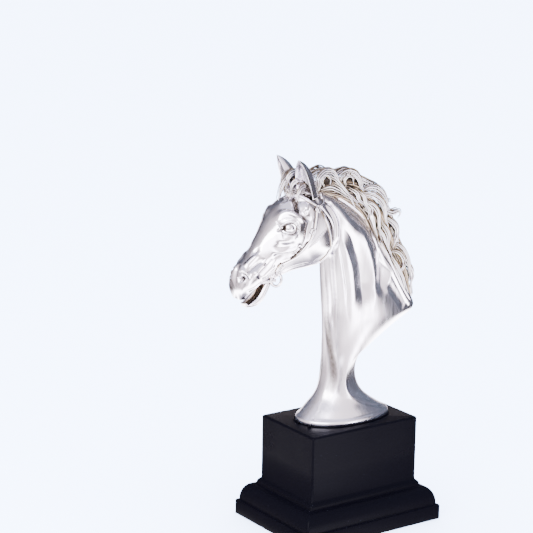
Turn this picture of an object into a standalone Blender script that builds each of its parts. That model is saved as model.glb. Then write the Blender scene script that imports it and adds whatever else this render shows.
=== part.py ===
"""A silver-plated horse head trophy on a black stepped plinth.

Two cast resin pieces: the plinth, and the bust that stands on it. Metres, +Z up.
The origin is the centre of the plinth's underside, and the horse faces -X.
"""
import math

import bmesh
import bpy
from mathutils import Vector
from mathutils.bvhtree import BVHTree

# Plinth, in metres
BLOCK_LENGTH = 0.0840
BLOCK_WIDTH = 0.0570
PLINTH_HEIGHT = 0.0690
SLAB_OVERHANG = 0.0122
SLAB_HEIGHT = 0.0094
SLAB_STEP = 0.0018
OVOLO_HEIGHT = 0.0122
OVOLO_REACH = 0.0066
BEAD_HEIGHT = 0.0044
EDGE_ROUNDING = 0.0010

# Bust, in metres: its foot is set in from the edges of the block that it stands on
BUST_HEIGHT = 0.1735
FOOT_MARGIN_FRONT = 0.0096
FOOT_MARGIN_BACK = 0.0070
FOOT_MARGIN_SIDE = 0.0072
FOOT_RIM_HEIGHT = 0.0028
FOOT_EDGE_HEIGHT = 0.0004
FOOT_EDGE_INSET = 0.0002
FOOT_SHOULDER_HEIGHT = 0.0010
FOOT_SHOULDER_INSET = 0.0012
SEAT_GAP = 0.0003

# The free form below is drawn in millimetres above the bust's seat, at this height,
# and it grows with BUST_HEIGHT.
DRAWN_HEIGHT = 173.5

# The share of the joined bust's facets that stay after the smallest are merged
FACETS_KEPT = 0.72


def clear_scene():
    for obj in list(bpy.data.objects):
        bpy.data.objects.remove(obj, do_unlink=True)


def collection(name):
    made = bpy.data.collections.new(name)
    bpy.context.scene.collection.children.link(made)
    return made


def material(name, colour, roughness, metallic):
    made = bpy.data.materials.new(name)
    made.use_nodes = True
    shader = made.node_tree.nodes["Principled BSDF"]
    shader.inputs["Base Color"].default_value = (*colour, 1.0)
    shader.inputs["Roughness"].default_value = roughness
    shader.inputs["Metallic"].default_value = metallic
    return made


def scaled(length):
    """A length of the drawing, in metres."""
    return length * BUST_HEIGHT / DRAWN_HEIGHT


def drawn(point):
    """A point of the drawing, placed in the model."""
    x, y, z = point
    return Vector((scaled(x), scaled(y), scaled(z) + PLINTH_HEIGHT + SEAT_GAP))


def mesh_object(name, bm, group):
    bmesh.ops.recalc_face_normals(bm, faces=bm.faces)
    mesh = bpy.data.meshes.new(name)
    bm.to_mesh(mesh)
    bm.free()
    obj = bpy.data.objects.new(name, mesh)
    group.objects.link(obj)
    return obj


def worked_out(obj, group):
    """Replaces obj by a plain mesh of what its modifiers or its curve give."""
    graph = bpy.context.evaluated_depsgraph_get()
    mesh = bpy.data.meshes.new_from_object(obj.evaluated_get(graph))
    bm = bmesh.new()
    bm.from_mesh(mesh)
    bm.transform(obj.matrix_world)
    bmesh.ops.remove_doubles(bm, verts=bm.verts, dist=1e-6)
    bmesh.ops.triangulate(bm, faces=bm.faces)
    name = obj.name
    bpy.data.objects.remove(obj, do_unlink=True)
    return mesh_object(name, bm, group)


# Plinth


def plinth_profile():
    """(outset from the block, height), from the underside's edge to the top face."""
    slab_top = SLAB_HEIGHT
    points = [(SLAB_OVERHANG, 0.0), (SLAB_OVERHANG, slab_top)]
    ovolo_foot = SLAB_OVERHANG - SLAB_STEP
    ovolo_top = ovolo_foot - OVOLO_REACH
    arc_steps = 6
    for step in range(arc_steps + 1):
        turn = math.pi / 2 * step / arc_steps
        outset = ovolo_top + OVOLO_REACH * math.cos(turn)
        points.append((outset, slab_top + OVOLO_HEIGHT * math.sin(turn)))
    bead_foot = slab_top + OVOLO_HEIGHT
    bead_reach = ovolo_top * 0.55
    points.append((bead_reach, bead_foot + BEAD_HEIGHT * 0.10))
    points.append((bead_reach, bead_foot + BEAD_HEIGHT * 0.45))
    points.append((0.0, bead_foot + BEAD_HEIGHT))
    points.append((0.0, PLINTH_HEIGHT))
    return points


def make_plinth(group):
    profile = plinth_profile()
    bm = bmesh.new()
    ring = [bm.verts.new((x, y, 0.0)) for x, y in ((-1, -1), (1, -1), (1, 1), (-1, 1))]
    top = bm.faces.new(ring)
    for step, (outset, z) in enumerate(profile):
        if step:
            top = bmesh.ops.extrude_discrete_faces(bm, faces=[top])["faces"][0]
        for vert in top.verts:
            vert.co.x = math.copysign(BLOCK_LENGTH / 2 + outset, vert.co.x)
            vert.co.y = math.copysign(BLOCK_WIDTH / 2 + outset, vert.co.y)
            vert.co.z = z
    open_edges = [edge for edge in bm.edges if edge.is_boundary]
    bmesh.ops.contextual_create(bm, geom=open_edges)
    obj = mesh_object("plinth", bm, group)
    soften = obj.modifiers.new("soft edges", "BEVEL")
    soften.width = EDGE_ROUNDING
    soften.segments = 2
    soften.limit_method = "ANGLE"
    soften.angle_limit = math.radians(50)
    obj.data.materials.append(material("black resin", (0.012, 0.011, 0.014), 0.28, 0.0))
    return obj


# Bust: sections from a front point to a back point on the mid-plane, with half-widths
# at these shares of the way, make a cage that Subdivision Surface rounds.
SHARES = (0.03, 0.16, 0.34, 0.52, 0.70, 0.87, 0.98)


def oval_section(z, inset):
    """The foot's outline in metres, kept inside the edges of the block."""
    front = -BLOCK_LENGTH / 2 + FOOT_MARGIN_FRONT + inset
    back = BLOCK_LENGTH / 2 - FOOT_MARGIN_BACK - inset
    half_width = BLOCK_WIDTH / 2 - FOOT_MARGIN_SIDE - inset
    squareness = 2.3
    shares = creased_shares(SHARES[-1])
    widths = []
    for share in shares:
        off_centre = abs(2 * share - 1)
        widths.append(half_width * (1 - off_centre**squareness) ** (1 / squareness))
    seat = PLINTH_HEIGHT + SEAT_GAP
    return (front, seat + z), (back, seat + z), shares, widths


def creased_shares(crease):
    """The neck's shares, with the last moved to its crease, and one behind it."""
    spread = crease / SHARES[-1]
    return [share * spread for share in SHARES] + [1 - (1 - crease) * 0.35]


def drawn_section(front, back, widths, crease=None):
    front_point = drawn((front[0], 0, front[1]))
    back_point = drawn((back[0], 0, back[1]))
    half_widths = [scaled(width) for width in widths]
    shares = SHARES if crease is None else creased_shares(crease)
    return (front_point.x, front_point.z), (back_point.x, back_point.z), shares, half_widths


def neck_sections():
    """The foot, the stem, and the neck fanning out to its cut edge and its crest."""
    foot = [
        oval_section(0.0, FOOT_EDGE_INSET),
        oval_section(FOOT_EDGE_HEIGHT, 0.0),
        oval_section(FOOT_RIM_HEIGHT, 0.0),
        oval_section(FOOT_RIM_HEIGHT + FOOT_SHOULDER_HEIGHT, FOOT_SHOULDER_INSET),
    ]
    form = [
        ((-26.0, 8.5), (28.0, 7.5), (6.9, 13.0, 16.6, 18.0, 18.0, 17.1, 15.6, 10.7), 0.78),
        ((-18.5, 16.0), (18.5, 14.5), (4.2, 7.2, 9.8, 11.6, 12.9, 13.7, 14.0, 9.6), 0.44),
        ((-15.0, 24.0), (13.2, 22.5), (3.8, 6.4, 8.8, 10.5, 11.7, 12.4, 12.7, 8.6), 0.33),
        ((-13.8, 32.0), (11.0, 31.0), (3.8, 6.4, 8.8, 10.5, 11.7, 12.4, 12.7, 8.2), 0.34),
        ((-14.0, 40.0), (12.0, 40.0), (4.2, 7.4, 9.6, 11.3, 12.2, 12.6, 12.7, 8.0), 0.49),
        ((-14.8, 49.0), (18.0, 49.0), (4.6, 8.6, 10.6, 12.2, 12.9, 12.8, 12.4, 7.4), 0.86),
        ((-15.6, 57.0), (30.0, 57.0), (4.8, 9.8, 11.4, 13.2, 13.4, 12.4, 11.0, 6.5), 0.96),
        ((-16.3, 64.0), (44.5, 63.5), (4.8, 10.4, 11.6, 13.3, 12.8, 11.0, 8.8, 5.0), 0.98),
        ((-16.6, 70.0), (59.5, 67.0), (4.8, 10.8, 11.4, 12.6, 11.0, 8.4, 4.4, 2.4), 0.98),
        ((-16.9, 79.0), (52.0, 76.5), (4.8, 10.9, 10.9, 12.2, 9.6, 8.0, 3.8, 2.0), 0.98),
        ((-17.5, 89.0), (44.5, 89.0), (4.8, 10.9, 10.5, 13.2, 8.6, 8.4, 4.1, 2.1), 0.98),
        ((-18.3, 99.0), (37.0, 101.0), (4.8, 10.9, 10.4, 13.4, 8.4, 8.4, 4.4, 2.2), 0.98),
        ((-19.0, 109.0), (29.0, 113.5), (4.6, 10.4, 10.2, 13.0, 8.4, 8.4, 4.6, 2.3), 0.98),
        ((-18.9, 118.5), (20.0, 125.0), (4.4, 9.8, 10.4, 12.4, 8.8, 8.4, 4.8, 2.4), 0.98),
        ((-17.8, 127.5), (8.5, 136.0), (4.2, 9.0, 10.6, 11.4, 9.2, 8.4, 4.8, 2.4), 0.98),
        ((-18.0, 135.0), (-5.0, 145.5), (3.9, 8.0, 9.8, 10.2, 9.3, 8.0, 4.7, 2.4), 0.98),
        ((-25.0, 140.0), (-24.0, 153.0), (3.4, 6.4, 7.8, 8.2, 7.6, 6.0, 3.6, 1.8), 0.98),
    ]
    return foot + [drawn_section(*section) for section in form]


def head_sections():
    """The head from behind the poll to the upper lip, top of the head first."""
    form = [
        ((-15.0, 145.5), (-12.0, 127.0), (2.5, 5.0, 7.0, 8.0, 7.5, 5.0, 2.5)),
        ((-21.5, 151.0), (-10.0, 119.5), (4.0, 8.0, 10.8, 12.0, 12.2, 9.5, 5.0)),
        ((-30.0, 154.0), (-13.5, 110.0), (5.5, 10.0, 12.5, 13.6, 14.2, 12.0, 6.5)),
        ((-38.5, 153.5), (-21.0, 104.0), (6.5, 11.5, 13.2, 13.6, 14.6, 12.0, 6.5)),
        ((-46.0, 150.5), (-30.5, 102.8), (7.5, 14.0, 15.0, 13.8, 14.0, 11.2, 6.0)),
        ((-53.0, 145.5), (-38.5, 102.6), (7.6, 15.6, 17.2, 14.2, 12.8, 10.0, 5.5)),
        ((-58.5, 139.0), (-45.0, 102.0), (6.6, 13.6, 15.6, 13.4, 11.4, 8.8, 5.0)),
        ((-63.0, 132.0), (-51.0, 100.0), (5.4, 9.6, 12.0, 12.0, 10.2, 7.8, 4.6)),
        ((-67.5, 125.2), (-57.0, 98.8), (5.0, 7.6, 9.6, 10.6, 9.4, 7.2, 4.4)),
        ((-71.8, 119.0), (-63.5, 98.2), (4.8, 6.8, 8.4, 9.4, 8.8, 6.8, 4.2)),
        ((-76.0, 113.8), (-69.5, 96.6), (4.8, 7.0, 8.4, 9.2, 8.6, 6.8, 4.0)),
        ((-80.2, 110.8), (-74.8, 92.6), (4.8, 7.8, 9.4, 9.8, 8.8, 6.8, 4.0)),
        ((-83.6, 108.4), (-79.0, 87.8), (4.2, 7.4, 9.0, 9.2, 8.2, 6.2, 3.6)),
        ((-84.4, 102.0), (-81.9, 88.4), (2.6, 5.4, 7.0, 7.2, 6.6, 4.8, 2.4)),
    ]
    return [drawn_section(*section) for section in form]


def lip_sections():
    """The dropped lower jaw, from inside the head to the lip's tip."""
    form = [
        ((-55.5, 104.0), (-52.0, 100.0), (2.5, 3.6, 4.2, 4.4, 4.2, 3.4, 2.2)),
        ((-62.5, 101.0), (-57.5, 97.0), (3.2, 4.4, 5.2, 5.4, 5.0, 4.0, 2.6)),
        ((-65.5, 94.0), (-61.0, 91.5), (3.8, 5.0, 5.8, 6.0, 5.4, 4.2, 2.6)),
        ((-68.5, 88.8), (-64.5, 85.8), (3.8, 5.2, 6.0, 6.2, 5.6, 4.2, 2.6)),
        ((-72.5, 86.6), (-70.0, 82.6), (3.6, 5.0, 5.8, 6.0, 5.4, 4.2, 2.6)),
        ((-77.0, 86.2), (-75.0, 82.8), (2.0, 3.0, 3.6, 3.8, 3.4, 2.6, 1.4)),
    ]
    return [drawn_section(*section) for section in form]


def mane_sections():
    """The mass under the locks, from between the ears down to the neck's tip."""
    form = [
        ((-45.0, 149.5), (-46.5, 158.5), (1.6, 2.4, 2.8, 3.0, 2.8, 2.4, 1.4)),
        ((-39.0, 149.5), (-38.0, 161.0), (2.5, 3.5, 4.2, 4.2, 4.0, 3.2, 2.0)),
        ((-30.0, 148.0), (-28.0, 160.0), (3.5, 4.8, 5.4, 5.4, 5.0, 4.0, 2.4)),
        ((-21.0, 145.0), (-19.0, 159.5), (5.0, 6.5, 7.0, 7.0, 6.2, 5.0, 3.0)),
        ((-12.0, 140.0), (-7.0, 158.5), (5.5, 7.0, 7.6, 7.6, 6.8, 5.4, 3.2)),
        ((-3.0, 133.0), (6.0, 154.5), (5.5, 7.0, 7.6, 7.8, 7.0, 5.4, 3.2)),
        ((5.0, 125.0), (17.5, 148.5), (5.5, 7.0, 7.6, 7.8, 7.0, 5.4, 3.2)),
        ((11.5, 117.0), (27.5, 140.0), (5.0, 6.6, 7.4, 7.6, 7.0, 5.4, 3.2)),
        ((16.5, 108.5), (34.5, 128.5), (4.6, 6.0, 6.8, 7.0, 6.4, 5.0, 3.0)),
        ((22.0, 100.0), (39.5, 116.0), (4.2, 5.4, 6.0, 6.2, 5.6, 4.6, 2.8)),
        ((28.0, 91.0), (46.5, 104.5), (3.8, 5.0, 5.4, 5.6, 5.2, 4.2, 2.6)),
        ((34.5, 82.0), (52.5, 92.0), (3.4, 4.4, 4.8, 5.0, 4.6, 3.8, 2.4)),
        ((41.5, 74.0), (54.5, 80.5), (2.8, 3.4, 3.8, 4.0, 3.8, 3.0, 2.0)),
        ((49.0, 68.5), (56.0, 71.0), (1.8, 2.2, 2.4, 2.4, 2.2, 1.8, 1.2)),
    ]
    return [drawn_section(*section) for section in form]


def section_ring(bm, section):
    front, back, shares, widths = section
    ring = [(front[0], 0.0, front[1])]
    side = []
    for share, width in zip(shares, widths):
        x = front[0] + (back[0] - front[0]) * share
        z = front[1] + (back[1] - front[1]) * share
        side.append((x, width, z))
    ring += side
    ring.append((back[0], 0.0, back[1]))
    ring += [(x, -y, z) for x, y, z in reversed(side)]
    return [bm.verts.new(point) for point in ring]


def close_oval(bm, ring):
    bm.faces.new(ring)


def close_crescent(bm, ring):
    """Fills a crescent between its outer arc and its shorter inner arc."""
    inner_count = len(ring) // 2 - 1
    outer = ring[: inner_count + 2]
    inner = [outer[0]] + ring[: inner_count + 1 : -1] + [outer[-1]]
    for near, far, inside_far, inside_near in zip(outer, outer[1:], inner[1:], inner):
        corners = (near, far, inside_far, inside_near)
        bm.faces.new(tuple(dict.fromkeys(corners)))


def cage(name, rings, bm, group, close=close_oval, levels=1, sharp_columns=(), sharp_rings=()):
    """Joins rings of as many points into a closed cage, and rounds it by subdivision."""
    crease = bm.edges.layers.float.new("crease_edge")
    for lower, upper in zip(rings, rings[1:]):
        for i in range(len(lower)):
            j = (i + 1) % len(lower)
            bm.faces.new((lower[i], lower[j], upper[j], upper[i]))
    close(bm, rings[0])
    close(bm, rings[-1])
    for column in sharp_columns:
        for ring in sharp_rings:
            edge = bm.edges.get((rings[ring][column], rings[ring + 1][column]))
            edge[crease] = 1.0
    obj = mesh_object(name, bm, group)
    rounding = obj.modifiers.new("rounding", "SUBSURF")
    rounding.levels = levels
    rounding.render_levels = levels
    return worked_out(obj, group)


def section_cage(name, sections, group, **options):
    bm = bmesh.new()
    rings = [section_ring(bm, section) for section in sections]
    return cage(name, rings, bm, group, **options)


def press(obj, path, radius, depth):
    """Pushes both flanks in along a path of (x, z) points; a negative depth raises them."""
    points = [drawn((x, 0, z)) for x, z in path]
    reach = scaled(radius)
    push = scaled(depth)
    for vert in obj.data.vertices:
        nearest = reach
        spot = Vector((vert.co.x, vert.co.z))
        for start, end in zip(points, points[1:]):
            a = Vector((start.x, start.z))
            b = Vector((end.x, end.z))
            share = (spot - a).dot(b - a) / (b - a).length_squared
            share = min(max(share, 0.0), 1.0)
            nearest = min(nearest, (spot - a.lerp(b, share)).length)
        if nearest < reach and abs(vert.co.y) > push:
            fade = (1 - (nearest / reach) ** 2) ** 2
            vert.co.y -= math.copysign(push * fade, vert.co.y)


def carve_head(head):
    temple = [(-46.5, 148.0), (-44.0, 141.5)]
    socket = [(-57.5, 132.0), (-45.5, 132.0)]
    brow = [(-56.0, 139.0), (-51.0, 141.0), (-45.5, 137.5)]
    behind_eye = [(-39.0, 140.5), (-38.5, 131.0)]
    facial_crest = [(-61.5, 117.5), (-43.0, 120.0)]
    under_crest = [(-61.0, 113.5), (-46.0, 113.5)]
    cheek = [(-27.0, 125.0), (-24.0, 115.0)]
    nostril = [(-84.0, 104.5), (-81.0, 102.5)]
    nostril_rim = [(-78.0, 106.5), (-77.5, 102.0)]
    press(head, temple, 6.0, 3.0)
    press(head, socket, 5.5, 2.2)
    press(head, brow, 3.5, -1.4)
    press(head, behind_eye, 3.5, 0.9)
    press(head, facial_crest, 4.0, -1.2)
    press(head, under_crest, 3.5, 1.0)
    press(head, cheek, 10.0, -1.0)
    press(head, nostril, 3.6, 3.0)
    press(head, nostril_rim, 3.0, -1.0)


def carve_lip(lip):
    """Hollows the lower lip's upper face, behind its rim."""
    hollow_depth = scaled(1.6)
    rim = scaled(4.2)
    for vert in lip.data.vertices:
        centre = abs(vert.co.y) < rim
        facing_up = vert.normal.x < -0.2 and vert.normal.z > -0.2
        if centre and facing_up and vert.co.x > drawn((-76.0, 0, 0)).x:
            vert.co.x += hollow_depth * 0.8
            vert.co.z -= hollow_depth * 0.6


# Ears, eyes, hair and bridle


def make_ear(group):
    """A cupped leaf: crescents from the base to the tip, open forward and outward."""
    stations = [
        (0.00, 6.2, 9.0),
        (0.24, 6.9, 8.4),
        (0.50, 6.2, 6.8),
        (0.74, 4.5, 4.4),
        (0.92, 2.1, 2.0),
        (1.00, 0.5, 0.5),
    ]
    base = Vector((-39.0, -8.8, 149.0))
    tip = Vector((-45.6, -12.2, 174.0))
    opening = Vector((-0.90, -0.42, -0.10)).normalized()
    across = (tip - base).cross(opening).normalized()
    wall = 1.7
    arc_steps = 5
    bm = bmesh.new()
    rings = []
    for along, half_width, depth in stations:
        centre = base.lerp(tip, along)
        ring = []
        for step in range(arc_steps + 1):
            turn = math.pi * step / arc_steps
            sideways = across * half_width * math.cos(turn)
            ring.append(centre + sideways - opening * depth * math.sin(turn))
        hollow = max(depth - wall, depth * 0.25)
        for step in range(arc_steps - 1, 0, -1):
            turn = math.pi * step / arc_steps
            sideways = across * half_width * 0.72 * math.cos(turn)
            ring.append(centre + sideways - opening * hollow * math.sin(turn))
        rings.append([bm.verts.new(drawn(p)) for p in ring])
    return cage("ear", rings, bm, group, close=close_crescent)


def swept(name, points, radii, group, sides=1):
    """A closed tube through drawn points, as thick as the radius at each."""
    curve = bpy.data.curves.new(name, "CURVE")
    curve.dimensions = "3D"
    curve.bevel_depth = scaled(1.0)
    curve.bevel_resolution = sides
    curve.use_fill_caps = True
    spline = curve.splines.new("POLY")
    spline.points.add(len(points) - 1)
    for spot, point, radius in zip(spline.points, points, radii):
        spot.co = (*drawn(point), 1.0)
        spot.radius = radius
    obj = bpy.data.objects.new(name, curve)
    group.objects.link(obj)
    return worked_out(obj, group)


def smooth_path(points, steps):
    """Points along a Catmull-Rom curve through the given ones."""
    ends = [points[0]] + list(points) + [points[-1]]
    path = []
    for a, b, c, d in zip(ends, ends[1:], ends[2:], ends[3:]):
        for step in range(steps):
            t = step / steps
            spot = []
            for pa, pb, pc, pd in zip(a, b, c, d):
                turn = 2 * pb + (pc - pa) * t + (2 * pa - 5 * pb + 4 * pc - pd) * t**2
                spot.append(0.5 * (turn + (3 * pb - pa - 3 * pc + pd) * t**3))
            path.append(tuple(spot))
    path.append(tuple(points[-1]))
    return path


def make_lock(points, thickness, group):
    """A lock of hair: thin at its root, full in the middle, pointed at its end."""
    path = smooth_path(points, 2)
    last = len(path) - 1
    radii = []
    for i in range(last + 1):
        along = i / last
        fullness = 0.6 + 0.4 * math.sin(math.pi * along)
        radii.append(thickness * fullness * (1.0 - 0.7 * along**2.5))
    return swept("lock", path, radii, group)


# Each lock of the mane is three or more drawn points on the near side and a thickness.
MANE_LOCKS = (
    (((-30, -5, 153), (-26, -5, 159), (-18, -5, 161), (-11, -6, 156), (-5, -7, 148)), 2.4),
    (((-24, -6, 153), (-19, -7, 157), (-14, -7, 154), (-17, -8, 151)), 1.7),
    (((-22, -7, 149), (-12, -7, 147), (-3, -8, 141), (4, -7, 134)), 2.1),
    (((-12, -4, 155), (-4, -4, 160), (3, -4, 159), (8, -5, 151), (10, -7, 143)), 2.4),
    (((-2, -7, 152), (2, -7, 155), (5, -7, 150), (3, -8, 146)), 1.7),
    (((-6, -7, 147), (3, -8, 142), (9, -8, 134), (13, -7, 127)), 2.1),
    (((5, -2, 155), (12, -3, 154), (19, -3, 150), (21, -3, 146)), 1.9),
    (((10, -5, 146), (20, -5, 147), (28, -5, 140), (31, -5, 132), (35, -4, 123)), 2.7),
    (((8, -7, 139), (17, -8, 138), (23, -8, 131), (25, -7, 120)), 2.5),
    (((29, -2, 136), (34, -2, 131), (39, -2, 131), (43, -2, 132), (44, -2, 128)), 1.9),
    (((22, -6, 130), (30, -6, 125), (36, -6, 118), (39, -5, 111)), 2.2),
    (((26, -6, 121), (31, -6, 113), (35, -6, 105), (39, -5, 98)), 1.9),
    (((33, -4, 112), (42, -3, 109), (49, -3, 100), (53, -3, 91), (52, -3, 84)), 2.2),
    (((37, -5, 104), (44, -5, 102), (48, -5, 96), (44, -5, 92)), 1.8),
    (((40, -5, 96), (45, -4, 90), (49, -4, 82), (52, -3, 75)), 1.8),
    (((50, -2, 90), (55, -2, 86), (54, -2, 79), (56, -2, 74)), 1.6),
)

FORELOCK = (
    (((-33, -2, 158), (-40, -2, 163), (-46, -2, 161), (-50, -2, 154)), 2.2),
    (((-36, -4, 156), (-42, -4, 160), (-47, -4, 156), (-48, -4, 151)), 1.8),
)


def head_side(tree, x, z):
    """The drawn y of the head's near flank at (x, z)."""
    start = drawn((x, -60, z))
    hit = tree.ray_cast(start, Vector((0, 1, 0)))[0]
    return hit.y / scaled(1.0)


def make_strap(path, tree, group):
    """A strap lying on the head's near flank along (x, z) points."""
    strap_radius = 1.15
    points = [(x, head_side(tree, x, z), z) for x, z in smooth_path(path, 2)]
    return swept("strap", points, [strap_radius] * len(points), group)


STRAPS = (
    ((-57.5, 101.5), (-52.0, 110.5), (-44.0, 117.0), (-37.0, 125.0), (-33.0, 135.0), (-30.0, 143.5)),
    ((-30.0, 143.5), (-23.5, 133.0), (-19.5, 121.0), (-20.0, 112.0), (-25.0, 107.0)),
    ((-30.0, 143.5), (-36.0, 148.0), (-42.0, 151.0)),
)


def ball(name, centre, radius, group):
    bm = bmesh.new()
    bmesh.ops.create_uvsphere(bm, u_segments=10, v_segments=7, radius=scaled(radius))
    bmesh.ops.translate(bm, verts=bm.verts, vec=drawn(centre))
    return mesh_object(name, bm, group)


def joined(name, body, pieces, group):
    """One closed body: an exact union of the body with all the pieces at once."""
    others = collection("pieces to join")
    for piece in pieces:
        others.objects.link(piece)
        group.objects.unlink(piece)
    union = body.modifiers.new("with the pieces", "BOOLEAN")
    union.operation = "UNION"
    union.operand_type = "COLLECTION"
    union.solver = "EXACT"
    union.collection = others
    fewer = body.modifiers.new("fewer facets", "DECIMATE")
    fewer.ratio = FACETS_KEPT
    whole = worked_out(body, group)
    for piece in pieces:
        bpy.data.objects.remove(piece, do_unlink=True)
    bpy.data.collections.remove(others)
    whole.name = name
    whole.data.name = name
    return whole


def mirrored(piece, group):
    """The far side's copy of a piece on the near side."""
    bm = bmesh.new()
    bm.from_mesh(piece.data)
    for vert in bm.verts:
        vert.co.y = -vert.co.y
    return mesh_object(piece.name, bm, group)


# The head, the lip and the mane's mass come first in the list, whole on both sides.
OWN_MIRROR_IMAGES = 3


def make_bust(group):
    crease_column = len(SHARES)
    other_crease_column = crease_column + 4
    neck = section_cage(
        "neck",
        neck_sections(),
        group,
        sharp_columns=(crease_column, other_crease_column),
        sharp_rings=range(6, 14),
    )
    head = section_cage("head", head_sections(), group)
    carve_head(head)
    lip = section_cage("lip", lip_sections(), group, levels=0)
    carve_lip(lip)
    pieces = [head, lip, section_cage("mane", mane_sections(), group, levels=0)]
    skin = bmesh.new()
    skin.from_mesh(head.data)
    tree = BVHTree.FromBMesh(skin)
    skin.free()
    pieces.append(make_ear(group))
    pieces.append(ball("eye", (-51.3, -12.3, 132.3), 4.5, group))
    pieces.append(ball("bit ring", (-57.5, -8.0, 100.5), 3.8, group))
    for path in STRAPS:
        pieces.append(make_strap(path, tree, group))
    for points, thickness in MANE_LOCKS + FORELOCK:
        pieces.append(make_lock(points, thickness, group))
    pieces += [mirrored(piece, group) for piece in pieces[OWN_MIRROR_IMAGES:]]
    bust = joined("horse_bust", neck, pieces, group)
    bust.data.materials.append(material("satin silver", (0.74, 0.73, 0.75), 0.22, 1.0))
    return bust


def main():
    clear_scene()
    trophy = collection("horse head trophy")
    make_plinth(trophy)
    make_bust(trophy)


main()
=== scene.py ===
"""A silver-plated horse head trophy on a black stepped plinth, finished for the studio.

The bust is drawn in millimetres above its seat on the plinth, and the horse faces -X.
"""
import math

import bmesh
import bpy
import numpy as np
from mathutils import Matrix, Vector
from mathutils.bvhtree import BVHTree


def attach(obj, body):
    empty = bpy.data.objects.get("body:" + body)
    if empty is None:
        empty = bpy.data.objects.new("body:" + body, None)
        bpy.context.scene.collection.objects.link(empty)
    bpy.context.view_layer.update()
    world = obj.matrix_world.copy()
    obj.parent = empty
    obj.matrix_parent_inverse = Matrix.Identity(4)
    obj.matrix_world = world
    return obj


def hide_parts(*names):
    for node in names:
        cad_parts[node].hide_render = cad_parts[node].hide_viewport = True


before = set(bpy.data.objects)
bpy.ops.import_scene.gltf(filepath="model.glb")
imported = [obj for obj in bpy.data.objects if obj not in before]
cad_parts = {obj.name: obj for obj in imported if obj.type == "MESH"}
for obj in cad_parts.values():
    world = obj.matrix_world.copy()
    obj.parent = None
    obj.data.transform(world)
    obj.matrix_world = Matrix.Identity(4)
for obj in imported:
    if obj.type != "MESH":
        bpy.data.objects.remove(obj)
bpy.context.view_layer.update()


# The studio: a pale seamless floor under the trophy, a lens at its front left, and soft
# panels round it. Two unlit gaps behind the trophy give the silver its dark bands.

floor_colour = (0.86, 0.90, 0.97)
floor_shade = 0.985
floor_half = 9.0
floor_drop = 0.0002


def new_material(name):
    made = bpy.data.materials.new(name)
    made.use_nodes = True
    return made, made.node_tree.nodes, made.node_tree.links


def set_inputs(node, **values):
    """The node with its inputs set, their names written with underscores."""
    for label, value in values.items():
        node.inputs[label.replace("_", " ")].default_value = value
    return node


def wire(links, *joins):
    """Links, each given as a node, its output, the next node and its input."""
    for source, output, target, socket in joins:
        links.new(source.outputs[output], target.inputs[socket])


def make_floor():
    bm = bmesh.new()
    bmesh.ops.create_grid(bm, x_segments=24, y_segments=24, size=floor_half)
    mesh = bpy.data.meshes.new("studio_floor")
    bm.to_mesh(mesh)
    bm.free()
    floor = bpy.data.objects.new("studio_floor", mesh)
    floor.location.z = -floor_drop
    bpy.context.scene.collection.objects.link(floor)
    paper, nodes, links = new_material("pale floor paper")
    shader = set_inputs(nodes["Principled BSDF"], Roughness=0.62)
    tone = set_inputs(nodes.new("ShaderNodeTexNoise"), Scale=1.7)
    ramp = nodes.new("ShaderNodeValToRGB")
    ramp.color_ramp.elements[0].color = tuple(c * floor_shade for c in floor_colour) + (1.0,)
    ramp.color_ramp.elements[1].color = floor_colour + (1.0,)
    wire(links, (tone, "Fac", ramp, "Fac"), (ramp, "Color", shader, "Base Color"))
    mesh.materials.append(paper)
    floor.visible_glossy = False


make_floor()

camera_turn = math.radians(-34.83)
camera_pitch = math.radians(13.455)
camera_roll = math.radians(0.889)
camera_place = Vector((-0.67878, -0.88961, 0.43538))
lens_length = 121.576


def make_camera():
    lens = bpy.data.cameras.new("studio camera")
    lens.sensor_width = 36.0
    lens.lens = lens_length
    camera = bpy.data.objects.new("studio camera", lens)
    bpy.context.scene.collection.objects.link(camera)
    level = math.cos(camera_pitch)
    back = Vector((
        math.sin(camera_turn) * level,
        -math.cos(camera_turn) * level,
        math.sin(camera_pitch),
    ))
    flat_right = Vector((math.cos(camera_turn), math.sin(camera_turn), 0.0))
    flat_up = back.cross(flat_right)
    right = math.cos(camera_roll) * flat_right + math.sin(camera_roll) * flat_up
    up = math.cos(camera_roll) * flat_up - math.sin(camera_roll) * flat_right
    turn = Matrix((right, up, back)).transposed()
    camera.matrix_world = Matrix.Translation(camera_place) @ turn.to_4x4()
    bpy.context.scene.camera = camera


make_camera()

# How bright the silver sees the studio, in shares of a turn from straight behind the
# trophy past its left, the camera and its right: at table height, then above it.
table_level = (
    (0.000, 0.62), (0.055, 0.60), (0.085, 0.17), (0.165, 0.18), (0.200, 0.29), (0.300, 0.34),
    (0.380, 0.40), (0.440, 0.34), (0.480, 0.22), (0.520, 0.26), (0.560, 0.40), (0.620, 0.46),
    (0.645, 0.62), (0.660, 0.98), (0.678, 0.98), (0.696, 0.50), (0.738, 0.11), (0.800, 0.085),
    (0.880, 0.09), (0.925, 0.20), (0.955, 0.34), (0.975, 0.58), (1.000, 0.62),
)
panel_level = (
    (0.000, 0.20), (0.100, 0.08), (0.170, 0.18), (0.240, 0.29), (0.320, 0.38), (0.400, 0.56),
    (0.450, 0.92), (0.520, 0.92), (0.560, 0.50), (0.640, 0.42), (0.695, 0.40), (0.735, 0.13),
    (0.800, 0.09), (0.920, 0.06), (1.000, 0.20),
)
# How far up or down it looks before it sees the ceiling, the pale floor, and its own shade
ceiling_and_floor = (
    (0.62, 0.88, (0.34, 0.33, 0.36, 1.0)),
    (-0.345, -0.50, (0.98, 0.96, 0.98, 1.0)),
    (-0.58, -0.86, (0.26, 0.25, 0.27, 1.0)),
)
reflected_strength = 17.0
backdrop_colour = (8.6, 10.2, 14.2, 1.0)


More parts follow.
